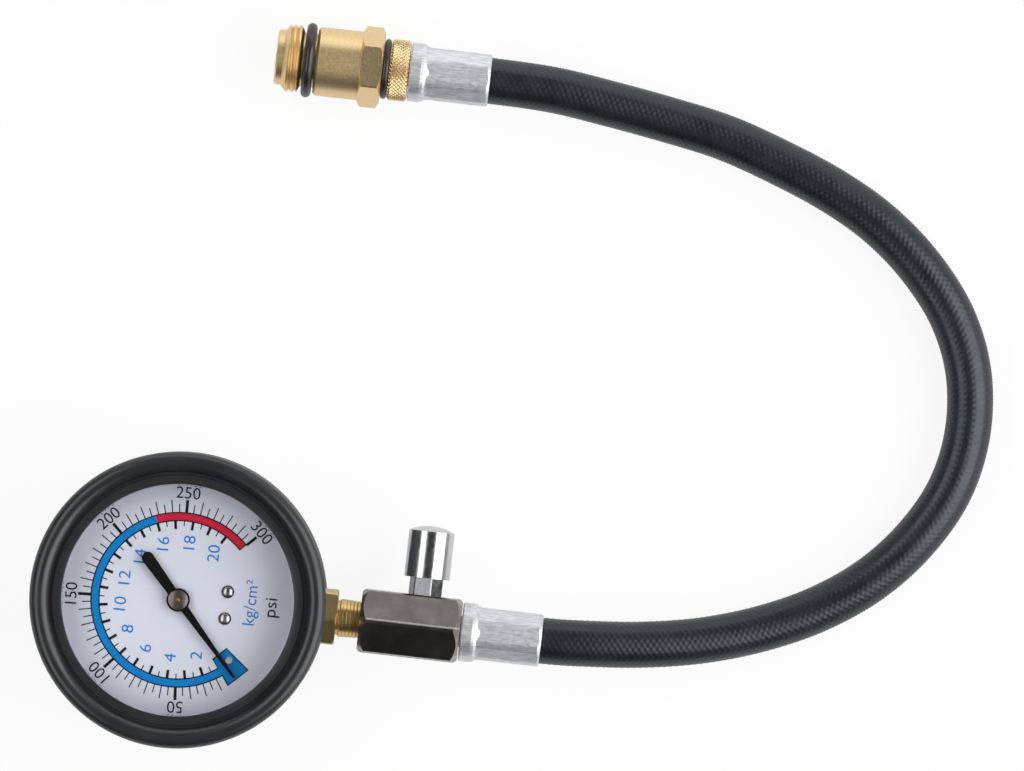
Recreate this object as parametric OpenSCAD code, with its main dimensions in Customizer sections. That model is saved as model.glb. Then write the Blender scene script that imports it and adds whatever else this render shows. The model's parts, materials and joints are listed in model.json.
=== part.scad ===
// Compression tester gauge: a booted dial gauge, a release valve, a hose and a plug adapter.
// The gauge lies on its back: Z out of the dial, X along the stem, origin on the boot's back.

/* [Case and boot] */
// Outer diameter of the pressed steel case
case_d = 68; // [60:0.5:82]
// Wall of the case
case_wall = 0.8; // [0.6:0.1:1.2]
// Depth of the case from its back to its rim
case_h = 29; // [26:0.5:35]
// Corner radius at the back of the case
case_corner = 2; // [1.5:0.1:3]
// Wall of the boot round the case
boot_wall = 5.5; // [5:0.1:7.5]
// Thickness of the boot's closed back
boot_back = 3; // [2.5:0.1:4]
// Height of the boot above the case rim
boot_rise = 4; // [3.4:0.1:5]
// Width of the boot's lip over the lens
boot_lip = 3; // [2.4:0.1:3.6]
// Depth of the waist between the boot's bead and its foot
boot_waist = 0.6; // [0.3:0.1:1]

/* [Lens and dial] */
// Thickness of the lens
lens_t = 1.9; // [1.6:0.1:2.4]
// Thickness of the lens flange on the case rim
lens_flange = 1.2; // [1:0.1:1.6]
// Width of the bevel round the lens's raised disc
lens_bevel = 0.8; // [0.4:0.1:1.2]
// Depth of the dial plate below the case rim
dial_drop = 8; // [7:0.1:10]
// Thickness of the dial plate
dial_t = 0.6; // [0.4:0.1:1]
// Distance of the dial screws from the gauge axis
dial_screw_x = 12.9; // [11:0.1:15]
// Distance between the two dial screws
dial_screw_gap = 7.2; // [6.4:0.1:9]
// Diameter of the dial screw heads
dial_screw_d = 3.5; // [2.8:0.1:3.8]

/* [Pointer] */
// Reach of the pointer's tip
pointer_reach = 25.6; // [20:0.1:28]
// Reach of the pointer's tail
pointer_tail = 15.5; // [10:0.1:18]
// Diameter of the pointer's centre disc
pointer_disc = 6.3; // [5.6:0.1:8]
// Direction of the resting pointer, in degrees from the stem
pointer_rest = -47.8; // [-60:0.1:-30]
// Diameter of the stop pin's head
stop_d = 2; // [1.4:0.1:2.6]
// Radius at which the stop pin stands
stop_r = 21.1; // [17:0.1:22]

/* [Movement] */
// Teeth of the pinion
pinion_teeth = 12; // [12:1:14]
// Teeth of a full circle of the sector gear
sector_teeth = 96; // [84:1:104]
// Module of the teeth
tooth_module = 0.25; // [0.22:0.01:0.3]
// Angle through which the sector turns over the whole scale
sector_turn = 33.4; // [28:0.1:36]
// Length of the sector's tail
tail_len = 5; // [4:0.1:5.5]
// Length of the link between tail and tube
link_len = 8; // [7:0.1:9]
// Thickness of the movement plates
plate_t = 1.2; // [1:0.1:1.6]
// Room between the two movement plates
plate_gap = 6.4; // [6:0.1:7]
// Mean radius of the Bourdon tube's arc
tube_r = 24.5; // [24:0.1:25.5]
// Height of the tube's flat section
tube_h = 9; // [7:0.1:10]
// Thickness of the tube's flat section
tube_w = 3; // [2.4:0.1:3.4]
// Wall of the tube
tube_wall = 0.4; // [0.3:0.05:0.6]

/* [Socket] */
// Height of the stem axis above the floor of the case
stem_rise = 11.7; // [11:0.1:14]
// Width of the socket block in the case
socket_w = 14; // [13:0.1:16]
// Hexagon of the stem, across flats
stem_af = 14; // [12:0.5:17]
// Turn of the stem's hexagon from a corner on top, in degrees
stem_turn = 7; // [0:1:59]
// Length of the hexagon outside the boot
stem_show = 2.9; // [1.5:0.1:6]
// Length of the pipe thread in the open
thread_show = 6.2; // [4:0.1:9]
// Length of the pipe thread in the valve body
thread_grip = 6; // [5:0.1:7]
// Large diameter of the tapered pipe thread
pipe_d = 10.3; // [9.6:0.1:11]

/* [Valve body] */
// Hexagon of the valve body, across flats
valve_af = 17; // [16:0.5:20]
// Length of the valve body
valve_len = 27; // [26:0.5:34]
// Distance of the release valve from the stem end of the body
release_at = 16.6; // [15.5:0.1:17]
// Diameter of the passage through the body
passage_d = 4; // [3:0.1:4.5]

/* [Release valve] */
// Hexagon of the neck, across flats
neck_af = 8; // [6.6:0.1:9.6]
// Turn of the neck's hexagon from a corner towards the hose, in degrees
neck_turn = 48; // [0:1:59]
// Height of the neck between body and button
neck_show = 4.7; // [4:0.1:7]
// Thread diameter of the neck
neck_thread = 6; // [5.6:0.1:6.6]
// Diameter of the push button
button_d = 12.2; // [12:0.1:14]
// Height of the push button up to its dome
button_h = 12.5; // [11.5:0.1:15]
// Height of the dome
button_dome = 1.5; // [0.8:0.1:2.5]
// Travel of the push button
button_travel = 2.5; // [1.5:0.1:2.8]
// Diameter of the valve stem
release_stem_d = 2.4; // [2:0.1:2.6]

/* [Hose and ferrules] */
// Outer diameter of the hose
hose_d = 12.5; // [11:0.1:15]
// Bore of the hose
hose_bore = 6.3; // [5.6:0.1:7]
// Length of a ferrule
ferrule_len = 21.7; // [18:0.1:26]
// Wall of a ferrule's collar over the hose
collar_wall = 1.65; // [1.5:0.05:2.6]
// Length of a ferrule's collar before its taper
ferrule_collar = 3; // [2.5:0.1:5]
// Length of the taper between collar and crimp
ferrule_taper = 2.3; // [1:0.1:3]
// Wall of the crimp's eight flats over the hose
crimp_wall = 0.75; // [0.6:0.05:1.2]
// Gap between a ferrule and the fitting behind it
ferrule_gap = 0.2; // [0.1:0.1:1]

/* [Hose end] */
// Diameter of the knurled collar
knurl_d = 16.5; // [15:0.1:18]
// Length of the knurled collar
knurl_len = 5.2; // [4:0.1:8]
// Diameter of the hose end's thread
end_thread_d = 14; // [13.6:0.1:14.4]
// Length of the hose end's thread
end_thread_len = 11; // [9:0.1:12]
// Height of the small seal ring over the thread
end_seal_over = 1.1; // [0.9:0.1:1.5]
// Thickness of the small seal ring
end_seal_t = 1.9; // [1.6:0.1:2.2]

/* [Plug adapter] */
// Hexagon of the adapter, across flats
adapter_af = 19; // [19:0.5:22]
// Length of the adapter's hexagon
adapter_hex = 6; // [5:0.1:9]
// Diameter of the adapter's barrel
barrel_d = 18.5; // [18:0.1:19]
// Length of the adapter's barrel
barrel_len = 12; // [10:0.1:16]
// Diameter of the plug thread
plug_d = 18; // [17.5:0.1:18.4]
// Length of the plug thread
plug_len = 4.8; // [4:0.1:9]
// Diameter of the nose in front of the thread
nose_d = 14.7; // [13:0.1:15]
// Length of the nose
nose_len = 1.4; // [1:0.1:2.5]
// Section of the large seal ring
plug_seal_t = 2.7; // [2.2:0.1:3]
// Outer diameter of the large seal ring
plug_seal_d = 20.1; // [19.6:0.1:20.6]
// Gas passage through the nose
nose_bore = 7; // [5:0.1:8]

/* [Hidden] */
$fn = 96;

// Clearances shared by the fits
run_fit = 0.05;
seat_fit = 0.05;
boot_fit = 0.1;
slide_fit = 0.1;
pivot_fit = 0.04;
touch_gap = 0.1;
eps = 0.01;

// Colours
black_rubber = "#1b1b1c";
steel = "#9a9c9f";
brass = "#c9a24e";
dark_nickel = "#4a4744";
chrome = "#c9ccd0";
aluminium = "#b4b6b8";
dial_white = "#d6d8e2";
pointer_black = "#101012";
bronze = "#a9763c";

// Gauge stack
case_r = case_d / 2;
boot_cavity_r = case_r + boot_fit;
boot_r = boot_cavity_r + boot_wall;
case_z = boot_back;
floor_z = case_z + case_wall;
rim_z = case_z + case_h;
boot_h = rim_z + boot_rise;
window_r = case_r - boot_lip;
dial_z = rim_z - dial_drop;
dial_top = dial_z + dial_t;
stem_z = floor_z + stem_rise;

// Boot profile
bead_r = 3.1;
foot_edge = 1;
foot_band = 5;
lip_drop = 1.4;
lip_groove = 1.9;
groove_in = 0.5;
lip_in = 1;
lip_bevel = 0.7;
lip_edge = 1.5;
lens_room = 0.2;
port_fit = 0.3;

// Socket and movement levels
tongue_top = stem_z - 3.5;
tongue_t = 4;
front_plate_z = tongue_top + plate_t + plate_gap;
sector_t = 1;
sector_z = tongue_top + plate_t + 2.2;
pinion_h = 2.6;
link_t = 0.6;
link_z = sector_z + sector_t + run_fit;
hairspring_z = sector_z + 2.7;
hairspring_h = 0.8;
post_r = 2.2;
screw_r = 1;
screw_in = 3;
screw_head_h = 1.1;
foot_screw_r = 1.5;
foot_head_r = 2.7;
foot_head_h = 1.3;
foot_screw_in = 4;

// Arbors
arbor_r = 1;
arbor_pivot_r = 0.6;
arbor_top = dial_top + 2.4;
sector_arbor_r = 0.9;
pin_r = 0.5;
pin_head_r = 0.8;
pin_head_h = 0.35;

// Gear geometry
pinion_r = pinion_teeth * tooth_module / 2;
sector_r = sector_teeth * tooth_module / 2;
centre_distance = pinion_r + sector_r;
pressure_angle = 20;
backlash = 0.07;
pinion_addendum = tooth_module;
pinion_dedendum = 1.1 * tooth_module;
sector_addendum = 0.7 * tooth_module;
sector_dedendum = 1.35 * tooth_module;
tooth_pitch_angle = 360 / sector_teeth;
first_tooth = -ceil(sector_turn / tooth_pitch_angle) - 2;
last_tooth = 2;

// Linkage at rest: the tail leans half its turn towards the stem, and the link's far pin
// lies just inside the tube's tip, where a circle of the link's length meets it
tail_lean = sector_turn / 2;
sector_at = [0, centre_distance];
tail_at = sector_at + tail_len * [sin(tail_lean), cos(tail_lean)];
link_end_r = 1.1;
tail_end_r = 1.3;
tip_sweep = 9;
tip_w = tube_w + 1.2;
tip_h = tube_h + 1.2;
tail_r = norm(tail_at);
tube_pin_r = tube_r - tip_w / 2 - link_end_r - touch_gap;
link_span = acos((tail_r ^ 2 + tube_pin_r ^ 2 - link_len ^ 2) / (2 * tail_r * tube_pin_r));
tube_pin_angle = atan2(tail_at.y, tail_at.x) - link_span;
tube_pin_at = polar(tube_pin_r, tube_pin_angle);
tip_angle = tube_pin_angle + 10;
tip_start = tip_angle + tip_sweep / 2;

// Socket stations along the stem
block_x0 = tube_r - 7.5;
block_x1 = tube_r + 2.5;
tongue_x0 = dial_screw_x - 5;
foot_w = 6.4;
foot_at = block_x0 + 2;
shank_r = 5;
hex_back = 4;
hex_x0 = boot_r - hex_back;
hex_x1 = boot_r + stem_show;
valve_x0 = hex_x1 + thread_show;
valve_x1 = valve_x0 + valve_len;
release_x = valve_x0 + release_at;
pipe_taper = 1 / 32;
fine_ridge = 0.1;
worn_ridge = 0.22;
stem_chamfer = 0.9;
valve_chamfer = 2;
adapter_chamfer = 1.6;
neck_chamfer = 0.3;
gas_r = 1.5;

// Release valve stations along its own axis, from the body's centre line
flat_y = valve_af / 2;
neck_in = 3.5;
neck_top = flat_y + neck_show;
neck_hex_top = neck_top + 0.6;
guide_r = 3.4;
guide_top = neck_hex_top + 5.4;
button_top = neck_top + button_h;
button_bore_r = hex_corner(neck_af) + 2 * slide_fit;
spring_solid = 2;
button_roof = guide_top + button_travel + spring_solid;
stem_r = release_stem_d / 2;
stem_gas_r = stem_r + 0.7;
stem_head_r = 2.4;
seal_t = 1.3;
stem_head_h = 1.2;
chamber_r = stem_head_r + 0.3;
chamber_end = stem_head_h + seal_t + button_travel - neck_in + 2.5;
button_boss_r = 2.1;

// Ferrules and hose tails, measured from the hose mouth back into the fitting
crimp_af = hose_d + 2 * crimp_wall;
ferrule_d = hose_d + 2 * collar_wall;
lip_len = 2.3;
tail_neck_r = 4.2;
tail_flange_r = hose_d / 2 - 0.65;
tail_flange_len = 1.2;
tail_bore_r = 1.6;
barb_r = hose_bore / 2 * cos(15) - seat_fit;
barb_count = 4;
barb_depth = 0.35;
tail_s0 = 1.5;
flange_s = ferrule_len - lip_len - tail_flange_len;
hose_in = flange_s - touch_gap;
fitting_s = ferrule_len + ferrule_gap;
grip_thread_r = 5;
grip_thread_len = 5.5;
near_x = valve_x1 + fitting_s;

// Far end: the hose mouth there, and stations from it towards the nose
far_mouth = [67, 147.5, 10.1];
knurl_s = fitting_s + knurl_len;
adapter_s0 = knurl_s + end_seal_t;
end_tip_s = adapter_s0 + end_thread_len;
hex_s = adapter_s0 + adapter_hex;
barrel_s = hex_s + barrel_len;
groove_len = plug_seal_t + 0.9;
groove_r = plug_seal_d / 2 - plug_seal_t - touch_gap;
groove_s = barrel_s + groove_len;
relief_len = 0.8;
thread_s = groove_s + relief_len;
plug_s = thread_s + plug_len;
nose_s = plug_s + nose_len;
end_seal_d = end_thread_d + 2 * end_seal_over;
seal_groove_r = end_seal_d / 2 - end_seal_t - touch_gap;
end_thread_r = end_thread_d / 2 - slide_fit;

// Check valve core, measured along the same stations
core_r = 2.6;
core_len = 7;
core_s1 = end_tip_s - 1;
core_s0 = core_s1 - core_len;
core_bore_r = 1.6;
core_shelf = 1.4;
core_pin_r = 0.7;
core_travel = 1.2;
core_seal_t = 1;
core_pin_out = 0.6;

// Route of the hose from mouth to mouth
hose_sides = 12;
hose_route = [
    [near_x, 0, stem_z],
    [109, 0.5, 15],
    [125, 2, 13],
    [141, 5, 10.5],
    [156.5, 10, 8.2],
    [171, 17, 6.8],
    [184, 26.5, 6.3],
    [194.5, 38.5, 6.3],
    [202, 52.5, 6.3],
    [205, 68, 6.3],
    [203.5, 84, 6.3],
    [197.5, 98.5, 6.3],
    [187.5, 111, 6.3],
    [175.5, 121, 6.3],
    [162, 128.5, 6.3],
    [147, 134.5, 6.3],
    [131.5, 139.5, 6.4],
    [116, 142.5, 7],
    [100, 145, 8.2],
    [84, 147, 9.5],
    far_mouth
];

// Shapes shared by several pieces

// Body of revolution about Z from an outline of [radius, height] points
module turned(outline) {
    rotate_extrude(convexity = 6)
        polygon(outline);
}

// Places a shape drawn along Z on the stem axis, with Z turned to X
module on_stem() {
    translate([0, 0, stem_z])
        rotate([0, 90, 0])
            children();
}

// Places a shape on the release valve's axis, with Z turned to Y
module on_release() {
    translate([release_x, 0, stem_z])
        rotate([-90, 0, 0])
            children();
}

// Places a shape at a hose mouth, with Z turned back along the fitting
module at_near_mouth() {
    translate([near_x, 0, stem_z])
        rotate([0, -90, 0])
            children();
}

module at_far_mouth() {
    translate(far_mouth)
        rotate([0, -90, 0])
            children();
}

// Corner radius of a hexagon from its width across flats
function hex_corner(af) = af / (2 * cos(30));

// Hexagon bar with rounded ridges, and both ends turned to a chamfer
module chamfered_hex(af, z0, z1, chamfer, ridge, slope = 30) {
    corner = hex_corner(af);
    rise = (chamfer - ridge) * tan(slope);
    intersection() {
        translate([0, 0, z0])
            cylinder(h = z1 - z0, r = corner, $fn = 6);
        turned([
            [0, z0],
            [corner - chamfer, z0],
            [corner - ridge, z0 + rise],
            [corner - ridge, z1 - rise],
            [corner - chamfer, z1],
            [0, z1]
        ]);
    }
}

// Cup outline with a rounded corner at the back
module cup_outline(r, z0, z1, corner) {
    translate([0, z0])
        square([r - corner, z1 - z0]);
    translate([0, z0 + corner])
        square([r, z1 - z0 - corner]);
    translate([r - corner, z0 + corner])
        circle(corner);
}

// Domed head: a flat disc whose top is part of a ball
module dome_outline(r, z0, z1, dome) {
    ball = (r * r + dome * dome) / (2 * dome);
    intersection() {
        translate([0, z0])
            square([r, z1 - z0]);
        translate([0, z1 - ball])
            circle(ball);
    }
}

// Flat bar with round ends between two points
module bar_outline(a, b, r) {
    along = b - a;
    translate(a)
        circle(r);
    translate(b)
        circle(r);
    translate(a)
        rotate(atan2(along.y, along.x))
            translate([0, -r])
                square([norm(along), 2 * r]);
}

// Flat oval section with its long side upright
module oval_outline(w, h) {
    square([w, h - w], center = true);
    translate([0, (h - w) / 2])
        circle(w / 2);
    translate([0, -(h - w) / 2])
        circle(w / 2);
}

// Involute function of an angle, as an angle
function involute(a) = tan(a) * 180 / PI - a;

// Half the angle that a tooth fills at radius r
function tooth_half(teeth, r) =
    let (pitch_r = teeth * tooth_module / 2)
    let (base_r = pitch_r * cos(pressure_angle))
    90 / teeth - backlash / (2 * pitch_r) * 180 / PI
        + involute(pressure_angle) - involute(acos(min(1, base_r / r)));

function polar(r, a) = r * [cos(a), sin(a)];

// Outline of one tooth from root to tip and back, centred on angle a
flank_steps = 4;
function tooth(teeth, a, root, tip) = concat(
    [for (i = [0 : flank_steps])
        let (r = root + (tip - root) * i / flank_steps)
        polar(r, a - tooth_half(teeth, r))],
    [for (i = [flank_steps : -1 : 0])
        let (r = root + (tip - root) * i / flank_steps)
        polar(r, a + tooth_half(teeth, r))]
);

// Frame of a ring on a path: across and upward directions square to the path
function unit(v) = v / norm(v);
function heading(path, i) = unit(path[min(i + 1, len(path) - 1)] - path[max(i - 1, 0)]);
function ring(path, i, r, sides) =
    let (t = heading(path, i))
    let (across = unit(cross([0, 0, 1], t)))
    let (up = cross(t, across))
    [for (k = [0 : sides - 1])
        let (a = 360 * (k + 0.5) / sides)
        path[i] + r * (cos(a) * across + sin(a) * up)];

// Side faces between rings that follow each other in the point list
function skin(first, rings, sides, flip) = [
    for (i = [0 : rings - 2])
        for (k = [0 : sides - 1])
            let (a = first + i * sides + k)
            let (b = first + i * sides + (k + 1) % sides)
            flip ? [b, b + sides, a + sides, a] : [a, a + sides, b + sides, b]
];

// Hollow tube swept along a path
module swept_tube(path, r, bore_r, sides) {
    n = len(path);
    inner = n * sides;
    last = (n - 1) * sides;
    points = concat(
        [for (i = [0 : n - 1]) each ring(path, i, r, sides)],
        [for (i = [0 : n - 1]) each ring(path, i, bore_r, sides)]
    );
    ends = [
        for (k = [0 : sides - 1])
            let (m = (k + 1) % sides)
            each [
                [k, m, inner + m, inner + k],
                [last + m, last + k, inner + last + k, inner + last + m]
            ]
    ];
    polyhedron(
        points,
        concat(skin(0, n, sides, false), skin(inner, n, sides, true), ends),
        convexity = 8
    );
}

// Compression spring along Z, as a wire swept round a helix
spring_steps = 12;
spring_sides = 6;
module coil_spring(r, wire_r, height, turns) {
    n = turns * spring_steps;
    rise = height - 2 * wire_r;
    function wire_ring(i) =
        let (a = 360 * i / spring_steps)
        [for (k = [0 : spring_sides - 1])
            let (b = 360 * k / spring_sides)
            let (reach = r + wire_r * cos(b))
            [reach * cos(a), reach * sin(a), wire_r + rise * i / n + wire_r * sin(b)]];
    points = [for (i = [0 : n]) each wire_ring(i)];
    polyhedron(
        points,
        concat(
            skin(0, n + 1, spring_sides, true),
            [[for (k = [spring_sides - 1 : -1 : 0]) k]],
            [[for (k = [0 : spring_sides - 1]) n * spring_sides + k]]
        ),
        convexity = 8
    );
}

// Gauge body

module rubber_boot() {
    color(black_rubber)
        difference() {
            union() {
                turned([
                    [0, 0],
                    [boot_r - foot_edge, 0],
                    [boot_r, foot_edge],
                    [boot_r, foot_band],
                    [boot_r - boot_waist, foot_band + boot_waist],
                    [boot_r - boot_waist, boot_h - bead_r],
                    [boot_r - bead_r, boot_h - lip_groove],
                    [case_r - groove_in, boot_h - lip_groove],
                    [case_r - lip_in, boot_h - lip_drop],
                    [window_r + lip_bevel, boot_h - lip_drop - lip_bevel],
                    [window_r, boot_h - lip_drop - lip_edge],
                    [window_r, rim_z],
                    [0, rim_z]
                ]);
                translate([0, 0, boot_h - bead_r])
                    rotate_extrude()
                        translate([boot_r - bead_r, 0])
                            circle(bead_r);
            }
            rotate_extrude()
                cup_outline(boot_cavity_r, case_z, rim_z + lens_flange, case_corner - boot_fit);
            on_stem()
                translate([0, 0, case_r - case_wall])
                    cylinder(h = boot_wall + 4, r = hex_corner(stem_af) + port_fit);
            for (side = [-1, 1])
                translate([foot_at, side * socket_w / 4, case_z - foot_head_h - touch_gap])
                    cylinder(h = foot_head_h + 1, r = foot_head_r + touch_gap);
        }
}

module gauge_case() {
    color(steel)
        difference() {
            rotate_extrude(convexity = 4)
                difference() {
                    cup_outline(case_r, case_z, rim_z, case_corner);
                    cup_outline(case_r - case_wall, floor_z, rim_z + 1, case_corner - case_wall);
                }
            on_stem()
                translate([0, 0, case_r - 3])
                    cylinder(h = 6, r = shank_r + seat_fit);
            for (side = [-1, 1])
                translate([foot_at, side * socket_w / 4, 0])
                    cylinder(h = floor_z + 1, r = foot_screw_r + seat_fit);
        }
}

module case_screws() {
    color(steel)
        for (side = [-1, 1])
            translate([foot_at, side * socket_w / 4, case_z - foot_head_h])
                turned([
                    [0, 0],
                    [foot_head_r - 0.3, 0],
                    [foot_head_r, 0.3],
                    [foot_head_r, foot_head_h],
                    [foot_screw_r, foot_head_h],
                    [foot_screw_r, foot_head_h + foot_screw_in],
                    [0, foot_head_h + foot_screw_in]
                ]);
}

module lens() {
    flange_top = rim_z + lens_flange;
    disc_top = rim_z + lens_t;
    foot_r = window_r - lens_room;
    color("#dfe6ec", 0.3)
        turned([
            [0, rim_z],
            [case_r, rim_z],
            [case_r, flange_top],
            [foot_r, flange_top],
            [foot_r - lens_bevel, disc_top],
            [0, disc_top]
        ]);
}

// Dial and pointer

module at_dial_screws() {
    for (side = [-1, 1])
        translate([dial_screw_x, side * dial_screw_gap / 2, 0])
            children();
}

module dial_plate() {
    color(dial_white)
        translate([0, 0, dial_z])
            difference() {
                cylinder(h = dial_t, r = case_r - case_wall - 0.3);
                translate([0, 0, -1])
                    cylinder(h = dial_t + 2, r = arbor_r + 0.6);
                at_dial_screws()
                    translate([0, 0, -1])
                        cylinder(h = dial_t + 2, r = screw_r + seat_fit);
                rotate(stop_angle)
                    translate([stop_r, 0, -1])
                        cylinder(h = dial_t + 2, r = stop_d / 4 + seat_fit);
            }
}

module dial_screws() {
    color(chrome)
        at_dial_screws()
            rotate_extrude() {
                translate([0, dial_z - screw_in])
                    square([screw_r, screw_in + dial_t + eps]);
                dome_outline(dial_screw_d / 2, dial_top, dial_top + 1, 0.8);
            }
}

module dial_posts() {
    color(brass)
        at_dial_screws()
            difference() {
                union() {
                    translate([0, 0, tongue_top + plate_t])
                        cylinder(h = dial_z - tongue_top - plate_t, r = post_r, $fn = 6);
                    translate([0, 0, tongue_top - screw_in])
                        cylinder(h = screw_in + plate_t + eps, r = screw_r);
                }
                translate([0, 0, dial_z - screw_in - 0.5])
                    cylinder(h = screw_in + 1, r = screw_r + seat_fit);
            }
}

// The stop pin stands just clear of the resting pointer's edge
pointer_root_w = 2.4;
pointer_tip_w = 0.65;
pointer_t = 0.4;
pointer_z = dial_top + 1.3;
pointer_edge = (pointer_root_w + (pointer_tip_w - pointer_root_w) * stop_r / pointer_reach) / 2;
stop_angle = pointer_rest + asin((pointer_edge + stop_d / 2 + touch_gap) / stop_r);

module stop_pin() {
    color(chrome)
        rotate(stop_angle)
            translate([stop_r, 0, 0])
                turned([
                    [0, dial_z - 0.6],
                    [stop_d / 4, dial_z - 0.6],
                    [stop_d / 4, dial_top],
                    [stop_d / 2, dial_top],
                    [stop_d / 2, pointer_z + 0.9],
                    [stop_d / 2 - 0.2, pointer_z + 1.1],
                    [0, pointer_z + 1.1]
                ]);
}

pointer_tail_w = 3.3;
bush_r = 1.25;
module pointer() {
    tail_x = pointer_tail_w / 2 - pointer_tail;
    color(pointer_black)
        translate([0, 0, pointer_z])
            rotate(pointer_rest)
                difference() {
                    union() {
                        linear_extrude(pointer_t)
                            polygon([
                                [tail_x, -pointer_tail_w / 2],
                                [0, -pointer_root_w / 2],
                                [pointer_reach, -pointer_tip_w / 2],
                                [pointer_reach, pointer_tip_w / 2],
                                [0, pointer_root_w / 2],
                                [tail_x, pointer_tail_w / 2]
                            ]);
                        translate([tail_x, 0, 0])
                            cylinder(h = pointer_t, d = pointer_tail_w);
                        cylinder(h = pointer_t, d = pointer_disc);
                    }
                    translate([0, 0, -1])
                        cylinder(h = pointer_t + 2, r = bush_r + seat_fit);
                }
}

module pointer_bush() {
    bush_top = pointer_z + pointer_t + 1;
    bush_disc_r = pointer_disc / 2 - 0.48;
    color(steel)
        difference() {
            rotate_extrude() {
                translate([0, pointer_z - 0.5])
                    square([bush_r, pointer_t + 0.5 + eps]);
                dome_outline(bush_disc_r, pointer_z + pointer_t, bush_top, 0.5);
            }
            translate([0, 0, pointer_z - 1])
                cylinder(h = arbor_top - pointer_z + 1 + seat_fit, r = arbor_pivot_r + seat_fit / 2);
        }
}

// Movement

module pinion_arbor() {
    color(brass) {
        turned([
            [0, tongue_top],
            [arbor_pivot_r, tongue_top],
            [arbor_pivot_r, tongue_top + plate_t + run_fit],
            [arbor_r, tongue_top + plate_t + run_fit],
            [arbor_r, front_plate_z - run_fit],
            [arbor_pivot_r, front_plate_z - run_fit],
            [arbor_pivot_r, arbor_top],
            [0, arbor_top]
        ]);
        translate([0, 0, sector_z + (sector_t - pinion_h) / 2])
            linear_extrude(pinion_h)
                polygon([
                    for (i = [0 : pinion_teeth - 1])
                        each tooth(
                            pinion_teeth,
                            90 + 360 * (i + 0.5) / pinion_teeth,
                            pinion_r - pinion_dedendum,
                            pinion_r + pinion_addendum
                        )
                ]);
    }
}

collet_r = 1.8;
spring_turns = 4;
spring_outer = 5.6;
spring_band = 0.16;
spiral_steps = 24;
function spiral_r(i) = collet_r + seat_fit
    + (spring_outer - collet_r) * i / (spring_turns * spiral_steps);

module hairspring() {
    n = spring_turns * spiral_steps;
    color(bronze)
        translate([0, 0, hairspring_z])
            linear_extrude(hairspring_h)
                polygon(concat(
                    [for (i = [0 : n]) polar(spiral_r(i), 360 * i / spiral_steps)],
                    [for (i = [n : -1 : 0]) polar(spiral_r(i) + spring_band, 360 * i / spiral_steps)]
                ));
}

module hairspring_collet() {
    color(brass)
        translate([0, 0, hairspring_z])
            difference() {
                cylinder(h = hairspring_h, r = collet_r);
                translate([0, 0, -1])
                    cylinder(h = hairspring_h + 2, r = arbor_r + seat_fit / 2);
            }
}

stud_r = 0.6;
stud_x = spring_outer + spring_band + 2 * seat_fit + stud_r;
module hairspring_stud() {
    color(brass)
        translate([stud_x, 0, hairspring_z - 0.2])
            cylinder(h = front_plate_z + plate_t - hairspring_z + 0.2, r = stud_r);
}

module sector_gear() {
    rim = sector_r - sector_dedendum;
    window_in = 4.5;
    window_out = rim - 1.6;
    start = 270 + (first_tooth - 0.5) * tooth_pitch_angle;
    end = 270 + (last_tooth + 0.5) * tooth_pitch_angle;
    color(brass)
        translate([sector_at.x, sector_at.y, sector_z])
            linear_extrude(sector_t)
                difference() {
                    union() {
                        polygon(concat(
                            [[0, 0]],
                            [for (i = [first_tooth : last_tooth])
                                each tooth(
                                    sector_teeth,
                                    270 + i * tooth_pitch_angle,
                                    rim,
                                    sector_r + sector_addendum
                                )]
                        ));
                        circle(2.2);
                        bar_outline([0, 0], tail_at - sector_at, tail_end_r);
                    }
                    polygon([
                        polar(window_in, start + 9),
                        polar(window_out, start + 5),
                        polar(window_out / cos((end - start - 10) / 4), (start + end) / 2),
                        polar(window_out, end - 5),
                        polar(window_in, end - 9)
                    ]);
                    circle(sector_arbor_r + seat_fit / 2);
                    translate(tail_at - sector_at)
                        circle(pin_r + seat_fit / 2);
                }
}

module sector_arbor() {
    color(brass)
        translate([sector_at.x, sector_at.y, 0])
            turned([
                [0, tongue_top],
                [arbor_pivot_r, tongue_top],
                [arbor_pivot_r, tongue_top + plate_t + run_fit],
                [1.4, tongue_top + plate_t + run_fit],
                [1.4, sector_z],
                [sector_arbor_r, sector_z],
                [sector_arbor_r, front_plate_z - run_fit],
                [arbor_pivot_r, front_plate_z - run_fit],
                [arbor_pivot_r, front_plate_z + plate_t],
                [0, front_plate_z + plate_t]
            ]);
}

// Headed pin that holds the link on the sector or on the tube
module link_pin() {
    turned([
        [0, sector_z],
        [pin_r, sector_z],
        [pin_r, link_z + link_t + run_fit],
        [pin_head_r, link_z + link_t + run_fit],
        [pin_head_r, link_z + link_t + run_fit + pin_head_h],
        [0, link_z + link_t + run_fit + pin_head_h]
    ]);
}

module sector_link_pin() {
    color(steel)
        translate([tail_at.x, tail_at.y, 0])
            link_pin();
}

module tube_link_pin() {
    color(steel)
        translate([tube_pin_at.x, tube_pin_at.y, 0])
            link_pin();
}

module link() {
    color(brass)
        translate([0, 0, link_z])
            linear_extrude(link_t)
                difference() {
                    bar_outline(tail_at, tube_pin_at, link_end_r);
                    for (end = [tail_at, tube_pin_at])
                        translate(end)
                            circle(pin_r + pivot_fit);
                }
}

// The tube runs from its pocket in the socket round to its tip, clockwise
tube_angle = -asin((socket_w / 2) / tube_r);
tube_end = tip_start - 360;
pocket_angle = 4;
module tube_arc(w, h, from, to) {
    rotate(min(from, to))
        rotate_extrude(angle = abs(to - from))
            translate([tube_r, stem_z])
                oval_outline(w, h);
}

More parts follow.
